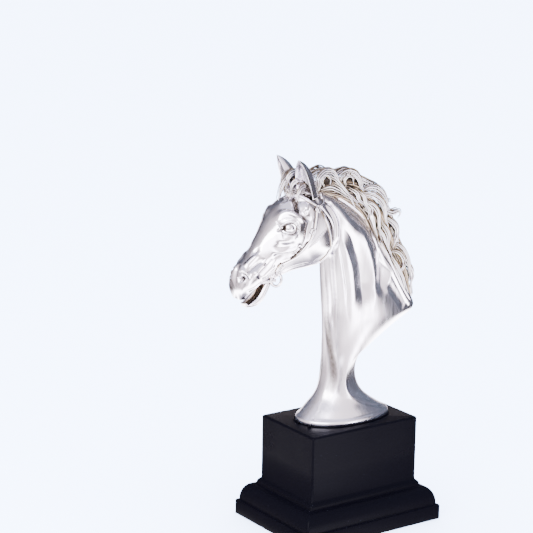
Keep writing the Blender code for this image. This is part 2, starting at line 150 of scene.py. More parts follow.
def brightness_ramp(nodes, level):
    """A ramp of greys, a little warmer where they are dim."""
    ramp = nodes.new("ShaderNodeValToRGB")
    ramp.color_ramp.interpolation = "EASE"
    stops = ramp.color_ramp.elements
    for place, brightness in level[1:-1]:
        stops.new(place)
    for stop, (place, brightness) in zip(stops, level):
        stop.position = place
        dimness = 1 - brightness
        stop.color = (
            brightness * (0.965 + 0.08 * dimness),
            brightness * 0.95,
            brightness * (1.0 - 0.06 * dimness),
            1.0,
        )
    return ramp


def height_share(nodes, low, high):
    share = nodes.new("ShaderNodeMapRange")
    share.interpolation_type = "SMOOTHSTEP"
    return set_inputs(share, From_Min=low, From_Max=high)


def colour_mix(nodes, **values):
    mix = nodes.new("ShaderNodeMix")
    mix.data_type = "RGBA"
    return set_inputs(mix, **values)


def make_world():
    """An even pale studio, which polished metal sees as panels with gaps between them."""
    world = bpy.data.worlds.new("studio")
    bpy.context.scene.world = world
    world.use_nodes = True
    nodes = world.node_tree.nodes
    links = world.node_tree.links
    nodes.clear()
    facing = nodes.new("ShaderNodeTexCoord")
    turned = nodes.new("ShaderNodeMapping")
    turned.inputs["Rotation"].default_value[2] = math.pi / 2 - camera_turn
    around = nodes.new("ShaderNodeTexGradient")
    around.gradient_type = "RADIAL"
    table = brightness_ramp(nodes, table_level)
    panel = brightness_ramp(nodes, panel_level)
    split = nodes.new("ShaderNodeSeparateXYZ")
    above_table = height_share(nodes, -0.12, 0.14)
    seen = colour_mix(nodes)
    wire(
        links,
        (facing, "Generated", turned, "Vector"),
        (turned, "Vector", around, "Vector"),
        (around, "Fac", table, "Fac"),
        (around, "Fac", panel, "Fac"),
        (facing, "Generated", split, "Vector"),
        (split, "Z", above_table, "Value"),
        (above_table, "Result", seen, "Factor"),
        (table, "Color", seen, "A"),
        (panel, "Color", seen, "B"),
    )
    for low, high, colour in ceiling_and_floor:
        share = height_share(nodes, low, high)
        layer = colour_mix(nodes, B=colour)
        wire(
            links,
            (split, "Z", share, "Value"),
            (share, "Result", layer, "Factor"),
            (seen, "Result", layer, "A"),
        )
        seen = layer
    curve = set_inputs(nodes.new("ShaderNodeGamma"), Gamma=2.2)
    mirrored = set_inputs(nodes.new("ShaderNodeBackground"), Strength=reflected_strength)
    even = set_inputs(nodes.new("ShaderNodeBackground"), Color=backdrop_colour)
    rays = nodes.new("ShaderNodeLightPath")
    either = nodes.new("ShaderNodeMixShader")
    out = nodes.new("ShaderNodeOutputWorld")
    wire(
        links,
        (seen, "Result", curve, "Color"),
        (curve, "Color", mirrored, "Color"),
        (rays, "Is Glossy Ray", either, "Fac"),
        (even, "Background", either, 1),
        (mirrored, "Background", either, 2),
        (either, "Shader", out, "Surface"),
    )


make_world()


def make_softbox(name, place, aim, energy, size):
    lamp = bpy.data.lights.new(name, "AREA")
    lamp.energy = energy
    lamp.size = size
    light = bpy.data.objects.new(name, lamp)
    light.location = place
    light.rotation_euler = (Vector(place) - Vector(aim)).to_track_quat("Z", "Y").to_euler()
    bpy.context.scene.collection.objects.link(light)


make_softbox("left softbox", (-0.95, -0.35, 0.75), aim=(0.0, 0.0, 0.12), energy=12.0, size=0.5)


# The plinth: a rectangular block on a moulded base, cast in resin with the moulding in one
# piece, sanded, and sprayed with satin gloss black lacquer that softens its edges.

block_length = 84.0
block_width = 57.0
corner_radius = 1.3
crisp_edge = math.radians(38)
lacquer_black = (0.0009, 0.0007, 0.0012, 1.0)
dust_grey = (0.03, 0.03, 0.035, 1.0)


def metres(points):
    """Millimetres above the floor, in metres."""
    return np.asarray(points, float) * 0.001


def grid_faces(rows, columns):
    """Quads between rings that lie one after another."""
    across = np.arange(columns)
    up = np.arange(rows - 1)[:, None] * columns
    right = (across + 1) % columns
    corners = (up + across, up + right, up + columns + right, up + columns + across)
    return np.stack(corners, axis=-1).reshape(-1, 4).tolist()


def make_piece(name, verts, faces, material):
    """A closed mesh with its faces turned outwards, riding on the trophy."""
    mesh = bpy.data.meshes.new(name)
    mesh.from_pydata(np.asarray(verts).reshape(-1, 3).tolist(), [], faces)
    bm = bmesh.new()
    bm.from_mesh(mesh)
    bmesh.ops.recalc_face_normals(bm, faces=bm.faces)
    bm.to_mesh(mesh)
    bm.free()
    mesh.shade_smooth()
    mesh.materials.append(material)
    piece = bpy.data.objects.new(name, mesh)
    bpy.context.scene.collection.objects.link(piece)
    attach(piece, "root")
    return piece


def quarter_round(outset, height, run, rise, steps):
    """A quarter of an oval about a centre, from beside it to above it."""
    turns = [math.pi / 2 * step / steps for step in range(steps + 1)]
    return [(outset + run * math.cos(turn), height + rise * math.sin(turn)) for turn in turns]


def moulding():
    """(outset from the block, height) up the plinth, in millimetres."""
    profile = [(12.2, 0.0), (12.2, 0.6), (12.2, 8.8), (11.9, 9.3), (10.7, 9.5)]
    profile += quarter_round(3.8, 9.8, 6.6, 11.6, 12)
    profile += [(3.1, 21.6), (2.4, 22.0), (2.2, 22.6), (2.2, 23.4), (1.9, 24.2), (1.2, 25.1)]
    profile += [(0.4, 25.8), (0.0, 26.6), (0.0, 45.0), (0.0, 67.6)]
    return profile + quarter_round(-1.2, 67.8, 1.2, 1.2, 4)


def rounded_corner_ring(outset, z):
    """A rectangle with rounded corners, outset from the block."""
    half_x = block_length / 2 + outset
    half_y = block_width / 2 + outset
    ring = []
    for quarter, (side_x, side_y) in enumerate(((1, 1), (-1, 1), (-1, -1), (1, -1))):
        for step in range(7):
            turn = math.pi / 2 * (quarter + step / 6)
            x = side_x * (half_x - corner_radius) + corner_radius * math.cos(turn)
            y = side_y * (half_y - corner_radius) + corner_radius * math.sin(turn)
            ring.append((x, y, z))
    return ring


def lacquer():
    """Satin gloss black, a little uneven in sheen and dusty in places."""
    made, nodes, links = new_material("black lacquer")
    shader = set_inputs(nodes["Principled BSDF"], IOR=1.45, Specular_IOR_Level=0.022)
    place = nodes.new("ShaderNodeTexCoord")
    cloud = set_inputs(nodes.new("ShaderNodeTexNoise"), Scale=38.0, Detail=4.0)
    gloss = set_inputs(nodes.new("ShaderNodeMapRange"), To_Min=0.22, To_Max=0.36)
    specks = set_inputs(nodes.new("ShaderNodeTexVoronoi"), Scale=210.0)
    dust = set_inputs(nodes.new("ShaderNodeMapRange"), From_Min=0.05, From_Max=0.02, To_Max=0.35)
    paint = colour_mix(nodes, A=lacquer_black, B=dust_grey)
    ripple = set_inputs(nodes.new("ShaderNodeBump"), Strength=0.05, Distance=0.002)
    wire(
        links,
        (place, "Object", cloud, "Vector"),
        (place, "Object", specks, "Vector"),
        (cloud, "Fac", gloss, "Value"),
        (gloss, "Result", shader, "Roughness"),
        (specks, "Distance", dust, "Value"),
        (dust, "Result", paint, "Factor"),
        (paint, "Result", shader, "Base Color"),
        (cloud, "Fac", ripple, "Height"),
        (ripple, "Normal", shader, "Normal"),
    )
    return made


black = lacquer()


def make_plinth():
    rings = [rounded_corner_ring(outset, z) for outset, z in moulding()]
    columns = len(rings[0])
    faces = grid_faces(len(rings), columns)
    faces.append(list(range(columns)))
    faces.append(list(range((len(rings) - 1) * columns, len(rings) * columns)))
    plinth = make_piece("stepped_plinth", metres(rings), faces, black)
    plinth.data.set_sharp_from_angle(angle=crisp_edge)
    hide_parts("plinth")


make_plinth()


# The neck and its foot: one smooth casting, plated, satin brushed along its height and
# lacquered. Long hollows part its muscles, and its back edge is crisp. Millimetres.

seat_height = 69.3
# Where a section's half-widths lie, in shares of the way from its front to its back
shares = (0.03, 0.16, 0.34, 0.52, 0.70, 0.87, 0.98)
foot_front = -32.4
foot_back = 35.0
foot_half = 21.3
# Up the foot's edge, in height and inset
foot_edge = ((0.0, 0.6), (0.0, 0.2), (0.5, 0.0), (1.6, 0.0), (2.7, 0.1), (3.3, 0.7), (3.9, 1.9))
foot_oval = 2.3

# Front point, back point, half-widths, share of the crease, and the crease's softness
neck_form = (
    ((-26.0, 8.5), (28.0, 7.5), (6.9, 13.0, 16.6, 18.0, 18.0, 17.1, 15.6, 10.7), 0.78, 0.07),
    ((-18.5, 16.0), (18.5, 14.5), (4.2, 7.2, 9.8, 11.6, 12.9, 13.7, 14.0, 9.6), 0.44, 0.04),
    ((-15.0, 24.0), (13.2, 22.5), (3.8, 6.4, 8.8, 10.5, 11.7, 12.4, 12.7, 8.6), 0.33, 0.018),
    ((-13.8, 32.0), (11.0, 31.0), (3.8, 6.4, 8.8, 10.5, 11.7, 12.4, 12.7, 8.2), 0.34, 0.012),
    ((-14.0, 40.0), (12.0, 40.0), (4.2, 7.4, 9.6, 11.3, 12.2, 12.6, 12.7, 8.0), 0.49, 0.01),
    ((-14.8, 49.0), (18.0, 49.0), (4.6, 8.6, 10.6, 12.2, 12.9, 12.8, 12.4, 7.4), 0.86, 0.006),
    ((-15.6, 57.0), (30.0, 57.0), (4.8, 9.8, 11.4, 13.2, 13.4, 12.4, 11.0, 6.5), 0.96, 0.004),
    ((-16.3, 64.0), (44.5, 63.5), (4.8, 10.4, 11.6, 13.3, 12.8, 11.0, 8.8, 5.0), 0.98, 0.003),
    ((-16.6, 70.0), (59.5, 67.0), (4.8, 10.8, 11.6, 12.8, 11.4, 8.8, 4.6, 2.4), 0.98, 0.003),
    ((-16.9, 79.0), (52.0, 76.5), (4.8, 10.9, 11.6, 12.4, 10.6, 8.6, 4.6, 2.0), 0.98, 0.003),
    ((-17.5, 89.0), (44.5, 89.0), (4.8, 10.9, 11.4, 12.6, 10.4, 8.8, 4.8, 2.1), 0.98, 0.003),
    ((-18.3, 99.0), (37.0, 101.0), (4.8, 10.9, 11.3, 12.6, 10.2, 8.8, 5.0, 2.2), 0.98, 0.003),
    ((-19.0, 109.0), (29.0, 113.5), (4.6, 10.4, 11.1, 12.3, 10.0, 8.8, 5.2, 2.3), 0.98, 0.003),
    ((-18.9, 118.5), (20.0, 125.0), (4.4, 9.8, 10.8, 12.0, 9.8, 8.6, 5.2, 2.4), 0.98, 0.004),
    ((-17.8, 127.5), (8.5, 136.0), (4.2, 9.0, 10.6, 11.4, 9.4, 8.4, 5.0, 2.4), 0.98, 0.006),
    ((-18.0, 135.0), (-5.0, 145.5), (3.9, 8.0, 9.8, 10.2, 9.3, 8.0, 4.8, 2.4), 0.98, 0.01),
    ((-25.0, 140.0), (-24.0, 153.0), (3.4, 6.4, 7.8, 8.2, 7.6, 6.0, 3.6, 1.8), 0.98, 0.01),
)


def raised(points):
    """Drawing millimetres above the seat, in metres above the floor."""
    points = np.asarray(points, float)
    return metres(points + np.array((0.0, 0.0, seat_height)))


def unit(vectors):
    """The directions of the vectors, each one long."""
    return vectors / (np.linalg.norm(vectors, axis=-1, keepdims=True) + 1e-9)


def even_places(points, samples, closed):
    """Where along a row of controls the samples go, so that they lie evenly on the skin."""
    following = np.roll(points, -1, axis=1) if closed else points[:, 1:]
    spans = np.linalg.norm(following - points[:, : following.shape[1]], axis=2).mean(axis=0)
    least_span = spans.mean() * 0.12
    spans = np.maximum(spans, least_span)
    reached = np.concatenate(([0.0], np.cumsum(spans)))
    wanted = np.linspace(0.0, reached[-1], samples, endpoint=not closed)
    return np.interp(wanted, reached, np.arange(len(reached)))


def spline_weights(controls, places, closed):
    """What each control counts for at each place of a smooth curve."""
    weights = np.zeros((len(places), controls))
    for sample, at in enumerate(places):
        start = min(int(at), controls - 1 if closed else controls - 2)
        t = at - start
        four = (
            (1 - t) ** 3 / 6,
            (3 * t**3 - 6 * t**2 + 4) / 6,
            (-3 * t**3 + 3 * t**2 + 3 * t + 1) / 6,
            t**3 / 6,
        )
        for control, weight in zip(range(start - 1, start + 3), four):
            if closed:
                weights[sample, control % controls] += weight
            elif control < 0:
                weights[sample, 0] += 2 * weight
                weights[sample, 1] -= weight
            elif control >= controls:
                weights[sample, -1] += 2 * weight
                weights[sample, -2] -= weight
            else:
                weights[sample, control] += weight
    return weights


def smooth_path(points, steps):
    """Points along a smooth curve through the given ones."""
    points = np.asarray(points, float)
    ends = np.concatenate((points[:1], points, points[-1:]))
    path = []
    for a, b, c, d in zip(ends, ends[1:], ends[2:], ends[3:]):
        for step in range(steps):
            t = step / steps
            bend = (2 * a - 5 * b + 4 * c - d) * t**2 + (3 * b - a - 3 * c + d) * t**3
            path.append(0.5 * (2 * b + (c - a) * t + bend))
    path.append(points[-1])
    return np.array(path)


def soft_step(value, low, high):
    """A smooth rise from 0 at low to 1 at high."""
    t = np.clip((value - low) / (high - low), 0.0, 1.0)
    return t * t * (3 - 2 * t)


def closed_skin(grid):
    """Verts and faces of a skin of rings, with a fan of faces over each end."""
    rows, columns = grid.shape[:2]
    count = rows * columns
    verts = np.vstack((grid.reshape(-1, 3), grid[0].mean(axis=0), grid[-1].mean(axis=0)))
    faces = grid_faces(rows, columns)
    for first, hub in ((0, count), (count - columns, count + 1)):
        for i in range(columns):
            faces.append([first + i, first + (i + 1) % columns, hub])
    return verts, faces


def silver_piece(name, verts, faces, wash_and_shade, material):
    """A piece of the plated casting, with its patina and painted shade for the material."""
    piece = make_piece(name, raised(verts), faces, material)
    layer = piece.data.attributes.new("wash_and_shade", "FLOAT", "POINT")
    layer.data.foreach_set("value", np.asarray(wash_and_shade, np.float32))
    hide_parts("horse_bust")
    return piece


class CarvedForm:
    """A lofted skin of rings, with what is carved into both of its flanks."""

    def __init__(self, rings, rows, columns):
        rings = np.asarray(rings, float)
        up = even_places(rings.transpose(1, 0, 2), rows, closed=False)
        along = spline_weights(rings.shape[0], up, closed=False)
        across = even_places(rings, columns, closed=True)
        around = spline_weights(rings.shape[1], across, closed=True)
        self.at = np.einsum("ri,cj,ijk->rck", along, around, rings)
        self.out = self.normals()
        self.push = np.zeros(self.at.shape[:2])
        self.wash_and_shade = np.zeros(self.at.shape[:2])

    def normals(self):
        around = np.roll(self.at, -1, axis=1) - np.roll(self.at, 1, axis=1)
        along = np.gradient(self.at, axis=0)
        out = unit(np.cross(around, along))
        middle = self.at.mean(axis=1, keepdims=True)
        if ((self.at - middle) * out).sum() < 0:
            out = -out
        return out

    def near_path(self, path):
        """Distance from a path in side view, the side of it, and the share along it."""
        flat = self.at[..., [0, 2]]
        path = smooth_path(path, 6)
        lengths = np.linalg.norm(np.diff(path, axis=0), axis=1)
        starts = np.concatenate(([0.0], np.cumsum(lengths)))
        nearest = np.full(flat.shape[:2], np.inf)
        side = np.zeros(flat.shape[:2])
        share = np.zeros(flat.shape[:2])
        for a, b, length, start in zip(path, path[1:], lengths, starts):
            step = b - a
            t = np.clip(((flat - a) @ step) / (length * length), 0.0, 1.0)
            away = flat - (a + t[..., None] * step)
            distance = np.hypot(away[..., 0], away[..., 1])
            closer = distance < nearest
            turn = step[0] * away[..., 1] - step[1] * away[..., 0]
            nearest = np.where(closer, distance, nearest)
            side = np.where(closer, np.sign(turn), side)
            share = np.where(closer, (start + t * length) / starts[-1], share)
        return nearest, side, share

    def carve(self, path, width, depth, other=None, steep=0.0, fade=(0.25, 0.25), wash_and_shade=0.0):
        """A hollow along a path, or a ridge where the depth is negative.

        It is as wide as width on the path's left, and as other on its right. A steep one
        has a sharp bottom, and fade gives the shares of the path over which its ends rise.
        """
        distance, side, share = self.near_path(path)
        reach = np.where(side > 0, width, width if other is None else other)
        q = np.clip(distance / reach, 0.0, 1.0)
        profile = (1 - q) ** steep if steep else (1 - q * q) ** 2
        start, end = fade
        ends = soft_step(share, -1e-6, start) * soft_step(1 - share, -1e-6, end)
        facing = soft_step(np.abs(self.out[..., 1]), 0.10, 0.45)
        amount = profile * ends * facing
        self.push -= depth * amount
        # The darkening left along the hollow is painted shade, with some of the wash
        self.wash_and_shade = np.maximum(self.wash_and_shade, wash_and_shade * amount)

    def wash_and_shade_hollows(self, amount):
        """Painted shade, with some patina, where the carving lies lower than the skin about it."""
        about = self.push.copy()
        for smoothing in range(12):
            about = (np.roll(about, 1, axis=1) + about + np.roll(about, -1, axis=1)) / 3
            about[1:-1] = (about[:-2] + about[1:-1] + about[2:]) / 3
        sunk = soft_step(about - self.push, 0.015, 0.35)
        self.wash_and_shade = np.maximum(self.wash_and_shade, sunk * amount)

    def finish(self, name, material):
        """The carved skin as a closed piece."""
        self.at = self.at + self.out * self.push[..., None]
        verts, faces = closed_skin(self.at)
        hub_wash_and_shade = (self.wash_and_shade[0].mean(), self.wash_and_shade[-1].mean())
        return silver_piece(name, verts, faces, np.append(self.wash_and_shade, hub_wash_and_shade), material)


# The wash left on the silver and the shade painted in its hollows, where thin and where thick
grey_wash_and_shade = ((0.40, 0.38, 0.39, 1.0), (0.12, 0.105, 0.095, 1.0))
brown_wash_and_shade = ((0.43, 0.395, 0.36, 1.0), (0.17, 0.125, 0.08, 1.0))
bright_silver = (0.80, 0.775, 0.84, 1.0)
darkest_wash_and_shade = (0.020, 0.015, 0.011, 1.0)


def satin_silver(name, rough, streak_scale, wash_and_shade_colours=grey_wash_and_shade):
    """Plating brushed to a satin, darkened by patina where the polish never reached it, and by painted
    shade.
    """
    made, nodes, links = new_material(name)
    shader = set_inputs(nodes["Principled BSDF"], Metallic=1.0)
    place = nodes.new("ShaderNodeTexCoord")
    stretched = set_inputs(nodes.new("ShaderNodeMapping"), Scale=streak_scale)
    brushing = set_inputs(nodes.new("ShaderNodeTexNoise"), Scale=60.0, Detail=5.0)
    gloss = set_inputs(nodes.new("ShaderNodeMapRange"), From_Min=0.3, From_Max=0.7)
    set_inputs(gloss, To_Min=rough * 0.8, To_Max=rough * 1.3)
    grain = set_inputs(nodes.new("ShaderNodeBump"), Strength=0.12, Distance=0.0004)
    # Each point's wash together with its painted shade, in hollows, creases and along edges
    wash_and_shade = nodes.new("ShaderNodeAttribute")
    wash_and_shade.attribute_name = "wash_and_shade"
    blotch = set_inputs(nodes.new("ShaderNodeTexNoise"), Scale=640.0, Detail=3.0)
    patchy = set_inputs(nodes.new("ShaderNodeMapRange"), From_Min=0.3, From_Max=0.7, To_Min=0.80)
    uneven = nodes.new("ShaderNodeMath")
    uneven.operation = "MULTIPLY"
    darkness_share = set_inputs(nodes.new("ShaderNodeMapRange"), From_Min=0.15)
    tone = nodes.new("ShaderNodeValToRGB")
    stops = tone.color_ramp.elements
    stops[0].color = bright_silver
    stops[1].color = darkest_wash_and_shade
    for position, wash_with_shade in zip((0.35, 0.70), wash_and_shade_colours):
        stops.new(position).color = wash_with_shade
    wire(
        links,
        (place, "Object", stretched, "Vector"),
        (stretched, "Vector", brushing, "Vector"),
        (brushing, "Fac", gloss, "Value"),
        (gloss, "Result", shader, "Roughness"),
        (brushing, "Fac", grain, "Height"),
        (grain, "Normal", shader, "Normal"),
        (place, "Object", blotch, "Vector"),
        (blotch, "Fac", patchy, "Value"),
        (patchy, "Result", uneven, 0),
        (wash_and_shade, "Fac", uneven, 1),
        (uneven, "Value", darkness_share, "Value"),
        (darkness_share, "Result", tone, "Fac"),
        (tone, "Color", shader, "Base Color"),
    )
    return made


brushed_silver = satin_silver("satin brushed silver", 0.20, (9.0, 9.0, 0.9))


def section_ring(front, back, places, halves):
    """A section's front point, one flank, its back point and the other flank."""
    side = []
    for share, half in zip(places, halves):
        x = front[0] + (back[0] - front[0]) * share
        z = front[1] + (back[1] - front[1]) * share
        side.append((x, half, z))
    ring = [(front[0], 0.0, front[1])] + side + [(back[0], 0.0, back[1])]
    return ring + [(x, -y, z) for x, y, z in reversed(side)]


def neck_rings():
    """The foot's ovals on their seat, then the stem and the neck fanning out above."""
    crease_shares = [share / shares[-1] for share in shares[:-1]]
    spread = [share * 0.98 for share in crease_shares] + [0.93, 0.98, 0.99, 0.993]
    rings = []
    for z, inset in foot_edge:
        halves = []
        for share in spread:
            bulge = (1 - abs(2 * share - 1) ** foot_oval) ** (1 / foot_oval)
            halves.append((foot_half - inset) * bulge)
        rings.append(section_ring((foot_front + inset, z), (foot_back - inset, z), spread, halves))
    for front, back, widths, crease, softness in neck_form:
        places = [share * crease for share in crease_shares]
        places += [crease - softness, crease, crease + softness, 1 - (1 - crease) * 0.35]
        before = widths[6] + (widths[5] - widths[6]) * softness / (crease - places[5])
        halves = list(widths[:6]) + [before, widths[6], widths[6] * 0.97, widths[7]]
        rings.append(section_ring(front, back, places, halves))
    return rings


def make_neck():
    neck = CarvedForm(neck_rings(), rows=290, columns=300)
    front_hollow = (
        (-11.0, 131.5), (-7.8, 127.1), (-2.1, 120.7), (2.2, 111.7), (5.7, 101.5),
        (7.8, 88.2), (8.1, 78.2), (5.2, 70.0),
    )
    crest_hollow = (
        (-22.0, 152.5), (-16.4, 150.0), (-9.2, 144.8), (-1.2, 138.9), (7.0, 132.2), (11.9, 128.4),
        (15.2, 125.5), (20.4, 117.1), (23.9, 108.8), (26.2, 100.5), (26.1, 94.0), (24.0, 86.3),
        (19.3, 79.6),
    )
    lower_crest_hollow = crest_hollow[7:]
    tip_hollow = ((26.0, 92.0), (33.0, 82.0), (43.0, 69.5))
    crest_ridge = (
        (14.0, 128.0), (17.7, 122.4), (23.9, 109.9), (31.8, 95.7), (39.8, 82.7), (49.5, 68.5),
    )
    behind_ridge = (
        (17.5, 127.0), (21.0, 121.0), (26.8, 110.5), (34.4, 96.7), (42.3, 83.8), (52.0, 70.0),
    )
    column_edge = (
        (-12.5, 130.1), (-11.5, 120.4), (-7.8, 103.8), (-4.9, 87.2), (-3.7, 73.9), (-0.8, 60.3),
    )
    front_flute = (
        (-20.0, 122.0), (-20.5, 106.0), (-19.8, 82.0), (-18.0, 58.0), (-14.6, 40.0), (-13.6, 26.0),
    )
    second_flute = ((-16.5, 122.0), (-15.5, 104.0), (-12.8, 81.0), (-12.0, 60.0), (-10.0, 45.0))
    front_edge = (
        (-17.6, 92.0), (-16.0, 70.0), (-13.4, 50.0), (-12.0, 38.0), (-12.2, 27.0), (-15.5, 17.0),
        (-22.0, 9.5),
    )
    throat_gap = (
        (-20.2, 145.2), (-17.7, 139.9), (-14.4, 133.8), (-13.0, 127.9), (-13.2, 120.2),
        (-14.5, 112.0),
    )
    # The stains these carves leave are painted shade with some wash: dark lines in the flutes and behind
    # the crest ridge, a dark line down the front edge, and the head's shadow in the gap under the throat
    neck.carve(front_hollow, 9.0, 3.5, other=7.0, steep=1.05, fade=(0.40, 0.30))
    neck.carve(crest_hollow, 6.5, 2.2, other=9.0, steep=1.1, fade=(0.30, 0.22))
    neck.carve(lower_crest_hollow, 5.5, 2.4, other=7.6, steep=1.1, fade=(0.45, 0.25))
    neck.carve(tip_hollow, 4.0, 0.9, other=4.0, fade=(0.4, 0.0001))
    neck.carve(crest_ridge, 1.9, -1.1, fade=(0.2, 0.05))
    neck.carve(behind_ridge, 1.3, 1.1, fade=(0.2, 0.05), wash_and_shade=0.7)
    neck.carve(column_edge, 3.0, 0.6, other=2.0, steep=1.2, fade=(0.3, 0.5))
    neck.carve(front_flute, 2.6, 2.1, fade=(0.2, 0.5), wash_and_shade=0.18)
    neck.carve(second_flute, 2.6, 2.2, fade=(0.2, 0.4), wash_and_shade=0.20)
    neck.carve(front_edge, 3.0, 1.2, other=3.4, fade=(0.5, 0.35), wash_and_shade=0.75)
    neck.carve(throat_gap, 2.6, 1.9, other=1.5, fade=(0.1, 0.3), wash_and_shade=0.9)
    neck.finish("neck_and_foot", brushed_silver)


make_neck()


# The head: cast with the neck, then chased by hand with fine punches round the eyes, the
# nose and the jaw, and polished brighter than the neck.

polished_silver = satin_silver("polished silver", 0.15, (5.0, 5.0, 5.0))

# Top of the head, underside of the jaw, and half-widths between them
head_form = (
    ((-15.0, 145.5), (-12.0, 127.0), (2.5, 5.0, 7.0, 8.0, 7.5, 5.0, 2.5)),
    ((-21.5, 151.0), (-10.0, 119.5), (4.0, 8.0, 10.8, 12.0, 12.2, 9.5, 5.0)),
    ((-30.0, 154.0), (-13.5, 110.0), (5.5, 10.0, 12.5, 13.6, 14.2, 12.0, 6.5)),
    ((-38.5, 153.5), (-21.0, 104.0), (6.5, 11.5, 13.2, 13.6, 14.6, 12.0, 6.5)),
    ((-46.0, 150.5), (-30.5, 102.8), (7.5, 14.0, 15.0, 13.8, 14.0, 11.2, 6.0)),
    ((-53.0, 145.5), (-38.5, 102.6), (7.6, 15.6, 17.2, 14.2, 12.8, 10.0, 5.5)),
    ((-58.5, 139.0), (-45.0, 102.0), (6.6, 13.6, 15.6, 13.4, 11.4, 8.8, 5.0)),
    ((-63.0, 132.0), (-51.0, 100.0), (5.4, 9.6, 12.0, 12.0, 10.2, 7.8, 4.6)),
    ((-67.5, 125.2), (-57.0, 98.8), (5.0, 7.6, 9.6, 10.6, 9.4, 7.2, 4.4)),
    ((-71.8, 119.0), (-63.5, 98.2), (4.8, 6.8, 8.4, 9.4, 8.8, 6.8, 4.2)),
    ((-76.0, 113.8), (-69.0, 95.0), (4.8, 7.0, 8.4, 9.2, 8.6, 6.8, 4.0)),
    ((-80.0, 110.8), (-74.2, 91.0), (4.8, 7.8, 9.4, 9.8, 8.8, 6.8, 4.0)),
    ((-83.2, 108.4), (-78.6, 87.2), (4.2, 7.4, 9.0, 9.2, 8.2, 6.2, 3.6)),
    ((-84.0, 102.0), (-81.6, 88.4), (2.6, 5.4, 7.0, 7.2, 6.6, 4.8, 2.4)),
)


def plain_rings(form):
    return [section_ring(front, back, shares, widths) for front, back, widths in form]


